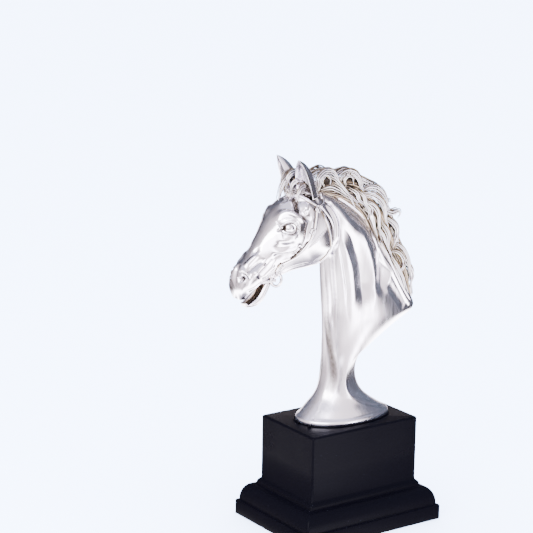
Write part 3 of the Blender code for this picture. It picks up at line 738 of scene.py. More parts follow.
def make_head():
    head = CarvedForm(plain_rings(head_form), rows=320, columns=280)
    no_fade = (0.0001, 0.0001)
    temple = ((-40.5, 151.5), (-42.0, 146.3), (-41.6, 142.2), (-38.6, 139.2), (-36.0, 141.0))
    temple_wall = (
        (-42.3, 151.4), (-44.7, 146.3), (-45.9, 142.6), (-43.2, 139.9), (-38.4, 137.1), (-36.4, 139.8),
        (-34.7, 142.7),
    )
    behind_eye = (
        (-34.5, 143.5), (-36.9, 141.6), (-38.3, 138.6), (-37.9, 134.8), (-39.2, 130.1), (-40.3, 125.8),
        (-42.4, 122.2), (-45.4, 118.8),
    )
    eye_socket = ((-57.5, 131.6), (-52.0, 132.2), (-46.5, 132.0))
    brow = (
        (-58.9, 134.8), (-56.0, 139.6), (-51.6, 141.8), (-47.0, 139.6), (-43.2, 136.9),
        (-40.4, 135.3),
    )
    tear_duct = ((-56.4, 133.0), (-58.2, 131.6), (-59.6, 130.0))
    # The wall of the temple's hollow, the line behind the eye and the tear duct are darkened with painted
    # shade and some wash
    head.carve(temple, 8.0, 2.9, other=4.6, steep=1.2, fade=(0.15, 0.3))
    head.carve(temple_wall, 3.4, 1.2, other=3.0, fade=(0.2, 0.3), wash_and_shade=0.82)
    head.carve(behind_eye, 3.0, 1.2, other=3.4, steep=1.2, fade=(0.15, 0.5), wash_and_shade=0.3)
    head.carve(eye_socket, 5.6, 1.7, fade=no_fade)
    head.carve(brow, 2.4, -1.2, fade=(0.3, 0.3))
    head.carve(tear_duct, 1.1, 0.8, fade=(0.3, 0.5), wash_and_shade=0.95)

    under_eye = ((-62.0, 119.0), (-56.0, 121.4), (-51.6, 123.6), (-49.0, 126.0))
    cheekbone = ((-60.5, 127.0), (-54.0, 124.4), (-47.0, 125.6))
    face_crest = ((-64.0, 118.0), (-55.8, 118.2), (-48.3, 119.0), (-43.0, 122.0))
    below_crest = (
        (-63.5, 115.0), (-61.2, 115.4), (-55.2, 115.9), (-49.2, 116.2), (-46.2, 118.0),
        (-43.2, 120.2),
    )
    jaw_muscle = ((-31.0, 124.0), (-24.0, 115.0))
    jaw_groove = ((-54.0, 103.2), (-48.0, 105.0), (-40.0, 106.4), (-31.0, 107.5))
    head.carve(under_eye, 3.4, 0.35, other=2.4)
    head.carve(cheekbone, 2.6, -0.4)
    head.carve(face_crest, 3.0, -0.9)
    # The groove under the facial crest is darkened with painted shade and some wash
    head.carve(below_crest, 2.2, 1.4, other=4.0, steep=1.4, fade=(0.25, 0.1), wash_and_shade=0.35)

    nose_hollows = (
        ((-67.0, 121.8), (-74.6, 116.4), (-80.4, 112.1), (-83.3, 110.6)),
        ((-66.0, 114.8), (-74.5, 109.5), (-78.1, 106.8), (-78.8, 103.0)),
        ((-59.7, 115.9), (-64.8, 110.2), (-69.2, 105.7), (-72.1, 101.9)),
    )
    nose_ridges = (
        (((-70.0, 117.4), (-76.0, 112.8), (-80.0, 109.8)), 1.8, -0.8),
        (((-66.0, 111.4), (-71.0, 108.0), (-75.4, 104.5)), 1.8, -0.8),
        (((-60.0, 110.0), (-65.0, 105.5), (-69.0, 101.5)), 2.0, -0.7),
    )
    # Each nose hollow is darkened with painted shade and some wash
    for line in nose_hollows:
        head.carve(line, 1.8, 1.6, other=3.6, steep=1.3, fade=(0.35, 0.2), wash_and_shade=0.4)
    for line, width, depth in nose_ridges:
        head.carve(line, width, depth)
    head.carve(jaw_muscle, 11.0, -1.3, fade=no_fade)
    head.carve(jaw_groove, 2.2, 1.0, steep=1.3)

    strap_shadow = ((-37.6, 123.6), (-39.4, 121.2), (-43.1, 117.2), (-46.8, 113.9), (-50.0, 112.9))
    throat_line = (
        (-28.4, 143.6), (-27.4, 142.4), (-23.4, 136.9), (-20.5, 132.8), (-18.8, 127.5), (-18.6, 121.1),
        (-18.9, 116.0), (-20.3, 111.7),
    )
    behind_throat = ((-23.2, 145.7), (-18.6, 138.9), (-15.8, 132.3), (-15.2, 123.9), (-16.2, 115.7))
    brow_band_line = ((-43.0, 157.0), (-39.6, 153.3), (-35.7, 150.7), (-31.1, 148.0), (-27.9, 144.6))
    # Painted shade: the strap's shadow on the cheek, the dark gap along the throatlatch, and the line
    # under the brow band
    head.carve(strap_shadow, 1.1, 1.4, other=1.1, fade=(0.2, 0.2), wash_and_shade=1.3)
    head.carve(throat_line, 1.2, 1.9, other=1.5, fade=(0.1, 0.2), wash_and_shade=1.3)
    head.carve(behind_throat, 1.9, -1.4)
    head.carve(brow_band_line, 2.6, 0.8, other=1.4, fade=(0.1, 0.2), wash_and_shade=0.9)

    nostril_rim = ((-82.5, 103.0), (-82.4, 102.8))
    nostril = ((-83.2, 103.7), (-81.6, 102.1))
    nostril_fold = ((-86.0, 106.3), (-83.0, 107.2), (-79.6, 105.6), (-78.3, 102.0))
    upper_lip = ((-80.5, 95.0), (-73.0, 96.8), (-66.5, 100.0))
    head.carve(nostril_rim, 5.2, -1.3, fade=no_fade)
    # The nostril's pit and the fold above it are darkened with painted shade and some wash
    head.carve(nostril, 3.2, 5.2, fade=no_fade, wash_and_shade=0.95)
    head.carve(nostril_fold, 1.0, 0.8, fade=(0.2, 0.3), wash_and_shade=0.7)
    head.carve(upper_lip, 1.6, 0.5)
    # Painted shade, with some wash, in every hollow of the carving
    head.wash_and_shade_hollows(0.38)
    between_nostrils = np.exp(-((head.at[..., 1] / 1.7) ** 2))
    head.push -= 1.6 * between_nostrils * soft_step(-head.at[..., 0], 79.0, 83.0)
    return head.finish("head", polished_silver)


head_piece = make_head()


# The lower lip: the dropped jaw of the open mouth, a scoop with a rolled rim, left dark
# inside with brown wash and painted shade, and with painted shade along its rim.

lip_form = (
    ((-55.5, 104.0), (-52.0, 100.0), (2.5, 3.6, 4.2, 4.4, 4.2, 3.4, 2.2)),
    ((-62.5, 101.0), (-57.5, 97.0), (3.2, 4.4, 5.2, 5.4, 5.0, 4.0, 2.6)),
    ((-66.3, 94.4), (-61.0, 91.5), (3.8, 5.0, 5.8, 6.0, 5.4, 4.2, 2.6)),
    ((-69.5, 89.6), (-64.5, 85.8), (3.8, 5.2, 6.0, 6.2, 5.6, 4.2, 2.6)),
    ((-73.0, 87.4), (-70.0, 82.6), (3.6, 5.0, 5.8, 6.0, 5.4, 4.2, 2.6)),
    ((-77.0, 86.2), (-75.0, 82.8), (2.0, 3.0, 3.6, 3.8, 3.4, 2.6, 1.4)),
)


lip_hollow = 2.6
lip_half_opening = 4.6
lip_silver = satin_silver("silver of the lip", 0.2, (5.0, 5.0, 5.0), brown_wash_and_shade)


def make_lip():
    lip = CarvedForm(plain_rings(lip_form), rows=90, columns=90)
    upward = soft_step(-lip.out[..., 0] * 0.75 + lip.out[..., 2] * 0.65, 0.25, 0.7)
    inside = soft_step(lip_half_opening - np.abs(lip.at[..., 1]), 0.0, 1.2)
    before_tip = soft_step(lip.at[..., 0], -76.5, -74.5)
    hollow = upward * inside * before_tip
    lip.push -= lip_hollow * hollow
    # Painted shade where the lip's skin turns edge-on to the side, outlining its rim
    edge_on = soft_step(1 - np.abs(lip.out[..., 1]), 0.55, 0.95)
    lip.wash_and_shade = np.maximum(hollow * 1.02, edge_on * 0.60)
    lip.finish("lower_lip", lip_silver)


make_lip()


# The eyes: glassy balls under heavy lids, cast with the head. The brown wash and painted
# shade darken the line round each ball, and painted shade the sides of the lids and the fold above.

eye_centre = (-51.8, 132.4)
eye_radius = 4.3
# How far the ball stands out of the skin, and how much its gaze turns to the side
eye_proud = 1.35
eye_aside = 1.5
# Degrees from the middle of the ball where the wash and painted shade begin, and where they are full
bare_ball = (38.0, 48.0)
# Where a line to the near flank starts, and about where it should end
beyond_flank = -60.0
usual_flank = -10.0


def skin_tree(piece):
    """The piece's faces, in drawing millimetres, ready for lines to be cast at."""
    mesh = piece.data
    verts = [vert.co * 1000 - Vector((0.0, 0.0, seat_height)) for vert in mesh.vertices]
    return BVHTree.FromPolygons(verts, [tuple(face.vertices) for face in mesh.polygons])


def near_side(tree, x, z):
    """Where a horizontal line from the near side meets the skin, and how that faces."""
    place, facing = tree.ray_cast(Vector((x, beyond_flank, z)), Vector((0.0, 1.0, 0.0)))[:2]
    if place is None:
        place, facing = tree.find_nearest(Vector((x, usual_flank, z)))[:2]
    return np.array(place), np.array(facing if facing.y < 0 else -facing)


head_skin = skin_tree(head_piece)


def tube(path, radii, sides, out=(0.0, -1.0, 0.0)):
    """Verts and faces of a closed tube, and how much each point lies on its out side."""
    path = np.asarray(path, float)
    radii = np.broadcast_to(radii, len(path))
    along = unit(np.gradient(path, axis=0))
    out = np.broadcast_to(np.asarray(out, float), path.shape)
    across = unit(np.cross(along, out))
    rising = np.cross(across, along)
    turns = np.arange(sides) * 2 * math.pi / sides
    sideways = across[:, None] * np.cos(turns)[None, :, None]
    upwards = rising[:, None] * np.sin(turns)[None, :, None]
    rings = path[:, None] + (sideways + upwards) * radii[:, None, None]
    verts = np.vstack((rings.reshape(-1, 3), path[:1], path[-1:]))
    faces = grid_faces(len(path), sides)
    count = len(path) * sides
    for i in range(sides):
        following = (i + 1) % sides
        faces.append([following, i, count])
        faces.append([count - sides + i, count - sides + following, count + 1])
    outward = np.append(np.tile(np.sin(turns), len(path)), (0.0, 0.0))
    return verts, faces, outward


def gather(parts):
    """One mesh's verts, faces, and patina with painted shade, from many closed parts."""
    verts = []
    faces = []
    all_wash_and_shade = []
    count = 0
    for part_verts, part_faces, part_wash_and_shade in parts:
        verts.append(part_verts)
        faces += [[index + count for index in face] for face in part_faces]
        all_wash_and_shade.append(part_wash_and_shade)
        count += len(part_verts)
    return np.vstack(verts), faces, np.concatenate(all_wash_and_shade)


def other_side(parts):
    """Mirror images of the parts across the middle of the horse."""
    flip = np.array((1.0, -1.0, 1.0))
    return [(verts * flip, [face[::-1] for face in faces], wash_and_shade) for verts, faces, wash_and_shade in parts]


def cast_piece(name, parts, material):
    """Many closed parts as one piece of the casting."""
    verts, faces, wash_and_shade = gather(parts)
    silver_piece(name, verts, faces, wash_and_shade, material)


def ball(centre, radius, rows=22, columns=32):
    """Verts and faces of a ball with its poles to left and right of the horse."""
    ring_verts = []
    for row in range(1, rows):
        tilt = math.pi * row / rows
        for column in range(columns):
            turn = 2 * math.pi * column / columns
            ring_verts.append((
                math.sin(tilt) * math.cos(turn),
                math.cos(tilt),
                math.sin(tilt) * math.sin(turn),
            ))
    verts = np.array(ring_verts + [(0.0, 1.0, 0.0), (0.0, -1.0, 0.0)]) * radius
    faces = grid_faces(rows - 1, columns)
    last = (rows - 2) * columns
    for i in range(columns):
        following = (i + 1) % columns
        faces.append([following, i, last + columns])
        faces.append([last + i, last + following, last + columns + 1])
    return verts + np.asarray(centre), faces


def make_eyes():
    x, z = eye_centre
    place, facing = near_side(head_skin, x, z)
    looking = unit(facing + np.array((0.0, -eye_aside, 0.0)))
    centre = place + looking * (eye_proud - eye_radius)
    verts, faces = ball(centre, eye_radius)
    aside = np.degrees(np.arccos(np.clip((verts - centre) @ looking / eye_radius, -1.0, 1.0)))
    # The ball darkens towards its rim, with wash and the shade painted in the crease under the lids
    parts = [(verts, faces, soft_step(aside, *bare_ball) * 1.1)]
    upper_lid = (
        (-58.4, 131.0), (-56.4, 134.0), (-53.8, 136.4), (-50.6, 136.9), (-47.6, 135.2),
        (-46.4, 131.8),
    )
    lower_lid = (
        (-58.4, 131.0), (-56.2, 129.2), (-53.4, 128.0), (-50.2, 127.9), (-47.4, 129.6),
        (-46.2, 132.4),
    )
    tear_line = (
        (-58.0, 131.2), (-55.9, 133.6), (-53.6, 135.3), (-51.0, 135.6), (-48.7, 134.5), (-47.8, 132.3),
        (-48.7, 129.9), (-51.0, 128.9), (-53.6, 129.2), (-56.0, 130.1), (-58.0, 131.2),
    )
    upper_fold = ((-58.2, 135.4), (-56.4, 137.4), (-52.8, 139.0), (-48.6, 138.2), (-45.4, 135.6))
    folds = (
        (upper_lid, 0.75, 0.0), (lower_lid, 0.55, 0.0), (upper_fold, 0.45, 0.0),
        (tear_line, 0.42, 1.0),
    )
    for path, thickness, wash_with_shade in folds:
        points = []
        for px, pz in smooth_path(path, 7):
            skin = near_side(head_skin, px, pz)[0][1]
            off = math.hypot(px - x, pz - z)
            if off < eye_radius:
                skin = min(skin, centre[1] - math.sqrt(eye_radius**2 - off**2) + 0.25)
            points.append((px, skin - 0.05, pz))
        ends = np.sin(np.linspace(0.12, math.pi - 0.12, len(points))) ** 0.6
        verts, faces, outward = tube(points, thickness * ends, 12)
        # Painted shade on the sides of each lid that turn from the near side, outlining it in dark; the
        # line round the ball is dark all over with wash and painted shade
        parts.append((verts, faces, np.maximum(soft_step(-outward, -0.75, 0.1) * 0.9, wash_with_shade)))
    cast_piece("eyes_and_lids", parts + other_side(parts), polished_silver)


make_eyes()


# The ears: thin cupped leaves cast with the head, pricked forward, hollow and unpolished
# inside, darkened there with wash and painted shade, with a crisp rolled rim.

# Share of the way to the tip, half-width across the opening, and depth behind it
ear_stations = (
    (0.00, 6.2, 12.0), (0.15, 6.4, 11.8), (0.30, 6.3, 11.2), (0.48, 5.9, 10.2), (0.68, 4.9, 8.6),
    (0.80, 3.7, 6.6), (0.87, 2.8, 5.2), (0.94, 1.6, 3.0), (0.98, 0.8, 1.5), (1.00, 0.3, 0.4),
)
ear_wall = 1.3
ear_base = np.array((-38.6, -9.2, 149.0))
ear_tip = np.array((-45.4, -11.6, 173.9))
ear_opening = unit(np.array((-0.96, -0.20, -0.14)))
ear_curl = np.array((-0.6, 0.0, 0.0))


def make_ears():
    across = unit(np.cross(ear_tip - ear_base, ear_opening))
    rings = []
    for share, half_width, depth in ear_stations:
        centre = ear_base + (ear_tip - ear_base) * share + ear_curl * math.sin(math.pi * share)
        hollow = max(depth - ear_wall, depth * 0.2)
        inset = half_width - min(ear_wall * 0.7, half_width * 0.35)
        ring = []
        for turn in np.linspace(0.0, math.pi, 11):
            back = ear_opening * depth * math.sin(turn) ** 0.8
            ring.append(centre + across * half_width * math.cos(turn) - back)
        for turn in np.linspace(math.pi, 0.0, 11)[1:-1]:
            back = ear_opening * hollow * math.sin(turn) ** 0.8
            ring.append(centre + across * inset * math.cos(turn) - back)
        rings.append(ring)
    ear = CarvedForm(rings, rows=90, columns=120)
    verts, faces = closed_skin(ear.at)
    # Wash and painted shade inside the cup, darkest towards its base
    inward = soft_step(ear.out @ ear_opening, 0.1, 0.7)
    inside = soft_step((ear_base - ear.at) @ ear_opening, 1.0, 6.0)
    low = soft_step(-ear.at[..., 2], -162.0, -152.0)
    wash_and_shade = np.append(inward * inside * (0.22 + 0.75 * low), (0.0, 0.0))
    parts = [(verts, faces, wash_and_shade)]
    cast_piece("ears", parts + other_side(parts), polished_silver)


make_ears()


# The bridle: flat straps, small buckles and a ring at the mouth, all raised on the casting
# and picked out by painted shade, in the brown of the wash, along their edges.

bridle_silver = satin_silver("silver of the bridle", 0.17, (5.0, 5.0, 5.0), brown_wash_and_shade)
strap_width = 2.0
strap_height = 0.75
# Place, turn and width of each buckle
buckles = (
    (-30.2, 142.0, 1.0, 3.4), (-35.3, 128.8, 1.1, 3.0), (-45.4, 116.2, 0.6, 3.0),
    (-56.0, 108.6, 0.9, 2.8),
)
ring_facing = (-0.35, -1.0, 0.0)


def strap(path, width=strap_width):
    """A flat strap laid over the head's hollows, with painted shade along its edges."""
    places = [near_side(head_skin, x, z) for x, z in smooth_path(path, 8)]
    points = np.array([place for place, facing in places])
    facings = np.array([facing for place, facing in places])
    for _ in range(6):
        points[1:-1, 1] = np.minimum(points[1:-1, 1], (points[:-2, 1] + points[2:, 1]) / 2)
        facings[1:-1] = (facings[:-2] + facings[1:-1] + facings[2:]) / 3
    facings = unit(facings)
    across = np.cross(unit(np.gradient(points, axis=0)), facings)
    half = width / 2
    section = (
        (-half, -0.6), (-half, 0.1), (-half + 0.12, 0.5), (-half + 0.4, strap_height),
        (half - 0.4, strap_height), (half - 0.12, 0.5), (half, 0.1), (half, -0.6),
    )
    rings = [points + across * side + facings * rise for side, rise in section]
    verts = np.stack(rings, axis=1).reshape(-1, 3)
    faces = grid_faces(len(points), len(section))
    faces.append(list(range(len(section))))
    faces.append(list(range(len(verts) - len(section), len(verts))))
    # Painted shade on the strap's sides, about half as much on its rounded shoulders
    edge = [1.0, 1.0, 0.55, 0.0, 0.0, 0.55, 1.0, 1.0]
    return verts, faces, np.tile(edge, len(points))


def buckle(x, z, turn, width, length):
    """A rectangular frame of wire lying on the head, with its prong."""
    place, facing = near_side(head_skin, x, z)
    along = np.array((math.cos(turn), 0.0, math.sin(turn)))
    along = unit(along - facing * (along @ facing))
    across = np.cross(along, facing)
    loop = []
    for step in range(33):
        angle = 2 * math.pi * step / 32
        squared = max(abs(math.cos(angle)), abs(math.sin(angle))) ** 0.75
        loop.append(
            place
            + facing * 0.95
            + along * math.cos(angle) / squared * length / 2
            + across * math.sin(angle) / squared * width / 2
        )
    prong = [place + facing * 1.3 + along * length * share for share in (-0.5, 0.0, 0.45)]
    parts = []
    for path, thickness in ((loop, 0.42), (prong, 0.3)):
        verts, faces, outward = tube(path, thickness, 8, out=facing)
        # Painted shade on the sides and underside of the wire
        parts.append((verts, faces, soft_step(-outward, -0.85, -0.05)))
    return parts


def ring_of_wire(centre, radius, thickness, out, stretch=1.0):
    """A round ring that faces out, or an upright oval one where stretch is above 1."""
    out = unit(np.array(out))
    across = unit(np.cross(out, (0.0, 0.0, 1.0)))
    upright = np.cross(across, out)
    loop = []
    for step in range(41):
        angle = 2 * math.pi * step / 40
        loop.append(
            np.asarray(centre)
            + across * radius * math.cos(angle)
            + upright * radius * stretch * math.sin(angle)
        )
    verts, faces, outward = tube(loop, thickness, 10, out=out)
    # Painted shade on the sides and back of the wire
    return verts, faces, soft_step(-outward, -0.90, -0.25) * 1.2


def make_bridle():
    cheek = (
        (-56.5, 109.2), (-51.3, 110.9), (-45.3, 113.4), (-40.8, 117.8), (-36.4, 123.2),
        (-34.2, 127.0), (-32.8, 131.9), (-31.4, 137.4), (-30.0, 143.0),
    )
    lower_cheek = ((-57.6, 102.5), (-58.6, 106.0), (-56.5, 109.2))
    brow = ((-29.4, 143.6), (-34.8, 147.0), (-39.5, 150.2), (-44.0, 153.0))
    throat = (
        (-29.0, 143.4), (-26.1, 138.6), (-23.2, 131.9), (-21.4, 124.7), (-20.3, 117.5), (-21.7, 112.2),
        (-25.4, 108.0),
    )
    crown = ((-23.1, 152.3), (-22.6, 148.4), (-24.0, 144.9), (-28.0, 143.3))
    parts = [strap(cheek), strap(lower_cheek, 1.6), strap(brow), strap(throat), strap(crown, 1.7)]
    for x, z, turn, width in buckles:
        parts += buckle(x, z, turn, width, width + 0.2)
    side = near_side(head_skin, -57.4, 101.5)[0][1]
    parts.append(ring_of_wire((-57.4, side - 1.1, 99.6), 3.3, 0.95, ring_facing, stretch=1.25))
    parts.append(ring_of_wire((-57.2, side - 1.6, 103.6), 1.5, 0.6, ring_facing))
    bar = ((-66.0, side + 2.5, 98.0), (-62.0, side + 0.6, 98.6), (-57.6, side - 1.0, 99.2))
    verts, faces, outward = tube(smooth_path(bar, 6), 0.95, 10)
    # Painted shade on the sides and back of the bit bar
    parts.append((verts, faces, soft_step(-outward, -0.6, 0.3)))
    cast_piece("bridle", parts + other_side(parts), bridle_silver)


make_bridle()


# The mane: a mass along the crest under deep carved locks, each a bundle of strands. The
# tops are burnished, the brown wash fills the roots, and painted shade with the wash darkens the
# gaps between strands, the mass under the locks and the locks that lie beneath.

hair_silver = satin_silver("silver of the hair", 0.20, (4.0, 4.0, 4.0), brown_wash_and_shade)
mane_furrows = 26
furrow_depth = 0.42

mane_form = (
    ((-45.0, 149.5), (-46.5, 154.5), (1.6, 2.4, 2.8, 3.0, 2.8, 2.4, 1.4)),
    ((-39.0, 149.5), (-38.0, 156.0), (2.5, 3.5, 4.2, 4.2, 4.0, 3.2, 2.0)),
    ((-30.0, 149.5), (-28.0, 155.5), (3.5, 4.8, 5.4, 5.4, 5.0, 4.0, 2.4)),
    ((-21.0, 149.5), (-19.0, 156.0), (5.0, 6.5, 7.0, 7.0, 6.2, 5.0, 3.0)),
    ((-12.0, 146.5), (-7.0, 157.5), (5.5, 7.0, 7.6, 7.6, 6.8, 5.4, 3.2)),
    ((-3.0, 143.0), (7.5, 156.8), (5.5, 7.0, 7.6, 7.8, 7.0, 5.4, 3.2)),
    ((5.0, 139.0), (17.0, 145.0), (5.5, 7.0, 7.6, 7.8, 7.0, 5.4, 3.2)),
    ((11.5, 130.5), (26.5, 136.8), (5.0, 6.6, 7.4, 7.6, 7.0, 5.4, 3.2)),
    ((16.5, 121.0), (33.4, 125.5), (4.6, 6.0, 6.8, 7.0, 6.4, 5.0, 3.0)),
    ((22.5, 113.5), (38.0, 114.0), (4.2, 5.4, 6.0, 6.2, 5.6, 4.6, 2.8)),
    ((29.0, 105.0), (45.0, 102.8), (3.8, 5.0, 5.4, 5.6, 5.2, 4.2, 2.6)),
    ((35.5, 95.0), (51.0, 91.0), (3.4, 4.4, 4.8, 5.0, 4.6, 3.8, 2.4)),
    ((42.5, 83.5), (53.6, 80.0), (2.8, 3.4, 3.8, 4.0, 3.8, 3.0, 2.0)),
    ((49.5, 72.0), (55.8, 71.0), (1.8, 2.2, 2.4, 2.4, 2.2, 1.8, 1.2)),
)


def make_mane_mass():
    columns = 200
    mass = CarvedForm(plain_rings(mane_form), rows=170, columns=columns)
    row, column = np.indices(mass.push.shape)
    around = column * 2 * math.pi * mane_furrows / columns
    wave = np.sin(around + 1.6 * np.sin(row / 11.0) + row / 16.0)
    behind_forelock = soft_step(mass.at[..., 0], -32.0, -24.0)
    mass.push += furrow_depth * wave
    # The mass beneath the locks is darkened with wash and painted shade, most in its furrows and behind
    # the forelock
    mass.wash_and_shade += (0.90 - 0.25 * wave) * (0.45 + 0.55 * behind_forelock)
    mass.finish("mane_under_the_locks", hair_silver)


make_mane_mass()

strand_pitch = 1.3
strand_sides = 8
lock_facing = np.array((-0.12, -0.95, 0.28))


def lock(points, width, seed, wash_with_shade=0.0):
    """A tapering lock of strands that lie side by side and part at its end."""
    rng = np.random.default_rng(seed)
    path = smooth_path(points, 6)
    t = np.linspace(0.0, 1.0, len(path))
    along = unit(np.gradient(path, axis=0))
    across = unit(np.cross(along, lock_facing))
    rising = np.cross(across, along)
    full = (0.60 + 0.40 * np.sin(math.pi * np.minimum(t * 1.25, 1.0))) * (1 - t**3.0) ** 0.8
    half = width / 2 * np.maximum(full, 0.05)
    strands = max(2, round(width / strand_pitch))
    gap = 2 / strands
    sway = rng.uniform(0.0, 2 * math.pi)
    rooted = np.append(np.repeat(soft_step(1 - t, 0.66, 1.0), strand_sides), (1.0, 0.0))
    parts = []
    for strand in range(strands):
        place = (strand + 0.5) * gap - 1
        drift = 0.16 * np.sin(sway + t * 7.0) + 0.16 * np.sin(rng.uniform(0.0, 6.3) + t * 6.0) * t
        sideways = half * (place + drift)
        rise = half * (0.45 * (1 - place**2) + rng.uniform(-0.16, 0.16))
        centre = path + across * sideways[:, None] + rising * rise[:, None]
        thick = np.maximum(half * gap * rng.uniform(0.32, 0.43), 0.12)
        verts, faces, outward = tube(centre, thick, strand_sides, out=lock_facing)
        height = verts[:-2, 2] - np.repeat(centre[:, 2], strand_sides)
        upward = np.append(height / np.repeat(thick, strand_sides), (0.0, 0.0))
        # Painted shade on the strands' sides that turn edge-on, drawing dark lines between them, and wash
        # at the roots; both are lifted where a strand faces upward, its top burnished
        polished = 1 - 0.85 * soft_step(upward, 0.55, 0.95)
        shade = soft_step(-np.abs(outward), -0.86, -0.10) * 1.3
        browned = rng.uniform(0.04, 0.32)
        parts.append((verts, faces, np.maximum(shade, rooted * 0.5) * polished + browned + wash_with_shade))
    return parts


# Each lock's width, and the points down its middle on the near side
near_locks = (
    (4.6, ((-30, -6, 150), (-27, -7, 155), (-26, -6.5, 160), (-20.5, -6, 163.5), (-15, -6, 162),
           (-11.5, -6.5, 157), (-6.5, -7, 151), (-1.5, -7.5, 145), (2.5, -7.5, 139))),
    (2.0, ((-22.5, -8, 154.5), (-24.5, -8, 158.5), (-21.5, -8, 161.5), (-18.2, -8.4, 159),
           (-18.6, -8.6, 156))),
    (3.0, ((-20.5, -7.5, 161), (-15, -8, 159), (-10.5, -8.2, 154.5), (-5.5, -8.4, 149.5), (0, -8.4, 144.5),
           (6, -8, 139))),
    (4.6, ((-10.5, -5, 153), (-7.8, -5, 159), (-2, -5, 161.5), (3, -5.5, 160), (6, -6, 156),
           (7.5, -6.5, 151), (9.5, -7, 145.5), (12, -7.5, 140))),
    (2.0, ((-6, -8.4, 154), (-7.5, -8.4, 157.5), (-4.5, -8.6, 160), (-1.0, -8.8, 158), (-0.6, -9, 154))),
    (3.6, ((0, -3, 159), (7.5, -3.5, 156.5), (13.5, -4, 154), (18.5, -4, 151.5), (20, -4, 147.5))),
    (4.0, ((9.5, -5, 148), (15, -5, 150), (21.5, -5, 148.8), (26.5, -5, 145), (30, -5, 139.5),
           (31, -5, 133.5))),
    (4.6, ((5.5, -7, 145.5), (12, -7.5, 146.2), (18.5, -7.8, 144), (23.5, -7.8, 139.5), (26, -7.5, 133.5),
           (27.5, -7, 128), (31, -6, 123))),
    (3.8, ((5, -8, 141.5), (11.5, -8.4, 141), (17, -8.6, 137.5), (20.5, -8.6, 132), (21.5, -8.4, 126),
           (22.5, -8, 120.5), (25, -7.5, 115))),
    (3.0, ((7.5, -8.6, 138), (12.5, -8.8, 135), (15.5, -9, 130), (17.5, -8.8, 124), (20.5, -8.2, 118))),
    (3.0, ((26, -3, 135.5), (31.5, -3, 132.5), (36.5, -3, 130.6), (41.2, -3, 131.6), (42.6, -3, 129),
           (40.5, -3, 127))),
    (1.8, ((28.5, -3, 134), (31, -3, 138), (33.2, -3, 139.3), (34.3, -3, 137.3))),
    (4.2, ((27, -5, 130), (33, -5.5, 126), (37.5, -5.5, 121), (38.5, -5.5, 116), (37, -5.5, 112),
           (36, -5.5, 109))),
    (3.4, ((30, -3, 128), (36, -3, 125), (40.5, -3, 120), (41, -3, 114.5), (40, -3, 110))),
    (3.6, ((22.5, -7.5, 128), (26.5, -7.8, 122.5), (29.5, -7.8, 117), (30, -7.5, 111), (33.5, -7, 105))),
    (2.8, ((20, -8.4, 125), (24.5, -8.4, 119), (27, -8.2, 113.5), (30.5, -7.8, 108), (34, -7, 102.5))),
    (4.4, ((33.5, -4, 110), (39.5, -4, 109.2), (45.5, -4, 104.5), (50, -4, 97.5), (52, -4, 90),
           (50.8, -4, 83))),
    (2.8, ((34, -6, 106.5), (39.5, -6.4, 105), (44, -6.6, 100), (44, -6.8, 95), (41, -6.8, 93),
           (38.2, -6.6, 96))),
    (3.2, ((33, -6.5, 103), (38, -6.6, 97), (42.5, -6.2, 90), (46, -5.8, 83.5), (50, -5, 76.5))),
    (3.0, ((46.5, -3, 99), (52.5, -3, 92.5), (54.5, -3, 87), (53, -3, 80.5), (54.5, -3, 73.5))),
    (2.8, ((39.5, -5.5, 93), (43.5, -5.2, 86), (47.5, -4.6, 78.5), (52, -3.6, 71))),
    (3.0, ((-25, -8, 152.5), (-19, -8.8, 154), (-13, -9.2, 151.5), (-8, -9.2, 148), (-3.5, -8.6, 145))),
    (3.2, ((-17, -8.4, 157), (-11, -9, 153.5), (-7, -9.4, 149), (-1, -9.2, 146), (4.5, -8.6, 141.5))),
    (3.2, ((-4, -8.8, 152), (1, -9.4, 148.5), (3.5, -9.4, 144), (8, -9.2, 141), (11, -8.8, 136))),
    (3.0, ((3, -8.6, 149.5), (7.5, -9.2, 146), (9, -9.4, 141), (12, -9.2, 136), (11.5, -8.8, 130.5))),
    (2.8, ((8, -8.8, 142), (13, -9.2, 138), (13.5, -9.2, 132.5), (16, -9, 127), (19.5, -8.4, 121))),
    (2.6, ((36, -6.2, 99), (40.5, -6, 91), (44.5, -5.4, 83), (48.5, -4.4, 75), (52.5, -3.2, 69))),
    (3.8, ((-32, -2.5, 158), (-24, -2.5, 162), (-15, -2.5, 162.5), (-8, -2.5, 160.5), (-3, -3, 157))),
    (3.8, ((-12, -2, 158.5), (-4, -2, 161.8), (3, -2, 160.6), (9, -2, 156.5), (13, -2.5, 151))),
    (3.8, ((8, -1.6, 155), (16, -1.6, 152.5), (23, -1.6, 149), (29, -1.6, 143), (32.5, -2, 136.5))),
    (3.8, ((26, -1.6, 143), (31, -1.6, 137), (34.5, -1.6, 130), (38, -1.6, 123.5), (40.5, -1.6, 116))),
    (3.6, ((36, -1.6, 122), (40, -1.6, 115), (43.5, -1.6, 109), (48.5, -1.6, 102.5), (52.5, -1.6, 95))),
    (3.4, ((44, -1.4, 107), (50, -1.4, 99.5), (53.6, -1.4, 91), (55, -1.4, 82), (56.4, -1.2, 73))),
)


# Under each lock lies a browner, darker one, shifted by this much: wash and the shade painted
# under the lock above
shift_below = np.array((1.4, 1.5, 0.9))
under_wash_and_shade = 0.48


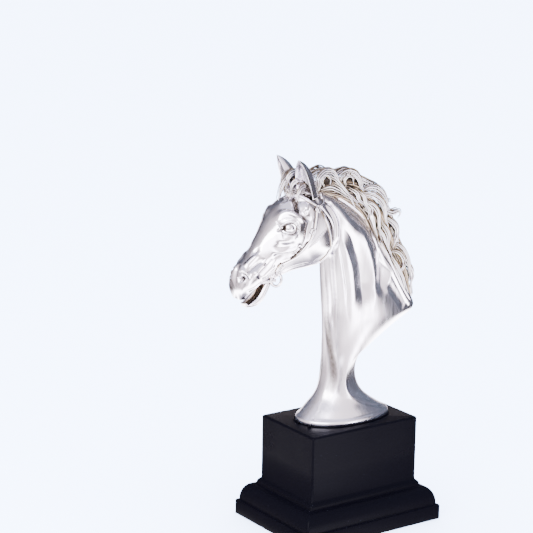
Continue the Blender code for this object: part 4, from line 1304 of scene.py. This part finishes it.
def make_locks(name, locks, first_seed):
    """The locks of the near side and their mirror images, as two pieces."""
    parts = []
    for number, (width, points) in enumerate(locks):
        seed = first_seed + number
        parts += lock(points, width, seed)
        parts += lock(np.array(points) + shift_below, width * 0.9, seed + 400, wash_with_shade=under_wash_and_shade)
    cast_piece(name + "_near", parts, hair_silver)
    cast_piece(name + "_far", other_side(parts), hair_silver)


make_locks("mane_locks", near_locks, 10)


# The forelock: locks that fall forward between the ears over the brow strap, cast solid
# with the forehead.

forelock_locks = (
    (4.0, ((-33, -2, 159), (-38, -2.5, 163), (-43, -2.5, 164), (-46.6, -2.5, 161.5), (-48, -2.5, 156.5),
           (-47.5, -3, 151))),
    (3.2, ((-34, -4, 156.5), (-39, -5, 160), (-43.5, -5, 159.5), (-46, -5, 155.5), (-46, -5.5, 150.5))),
    (2.8, ((-33, -5.5, 154), (-37.5, -7, 156), (-41, -7.5, 154.5), (-43.5, -8, 151), (-44, -8.5, 147.5))),
    (3.4, ((-36, -0.8, 160), (-42, -0.8, 163), (-47.5, -0.8, 160), (-51, -0.8, 153.5), (-52.5, -1, 148))),
)
make_locks("forelock", forelock_locks, 80)



# The glue line: black lacquer that crept up under the foot when the casting was set on its
# plinth, uneven all round, with one dried drop at the front corner.

glue_drop = (-30.6, -11.0)
drop_size = np.array((1.5, 1.0, 1.1))


def make_glue_line():
    rng = np.random.default_rng(7)
    ring = smooth_path(neck_rings()[1], 6)[::2]
    count = len(ring)
    turn = np.linspace(0.0, 2 * math.pi, count)
    uneven = 0.5 + 0.25 * np.sin(turn * 11.0 + 1.0) + 0.25 * np.sin(turn * 23.0)
    radii = 0.30 + 0.32 * uneven + 0.10 * rng.random(count)
    radii[-1] = radii[0]
    path = ring * np.array((1.006, 1.012, 1.0)) + np.array((0.0, 0.0, 0.12))
    line = tube(path, radii, 8, out=(0.0, 0.0, 1.0))
    nearest = ring[np.argmin(np.hypot(ring[:, 0] - glue_drop[0], ring[:, 1] - glue_drop[1]))]
    spot = nearest * np.array((1.035, 1.10, 1.0)) + np.array((0.0, 0.0, 0.35))
    drop, drop_faces = ball(np.zeros(3), 1.0, rows=12, columns=20)
    parts = [line, (drop * drop_size + spot, drop_faces, np.zeros(len(drop)))]
    verts, faces = gather(parts)[:2]
    piece = make_piece("glue_line", raised(verts), faces, black)
    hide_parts("plinth")


make_glue_line()
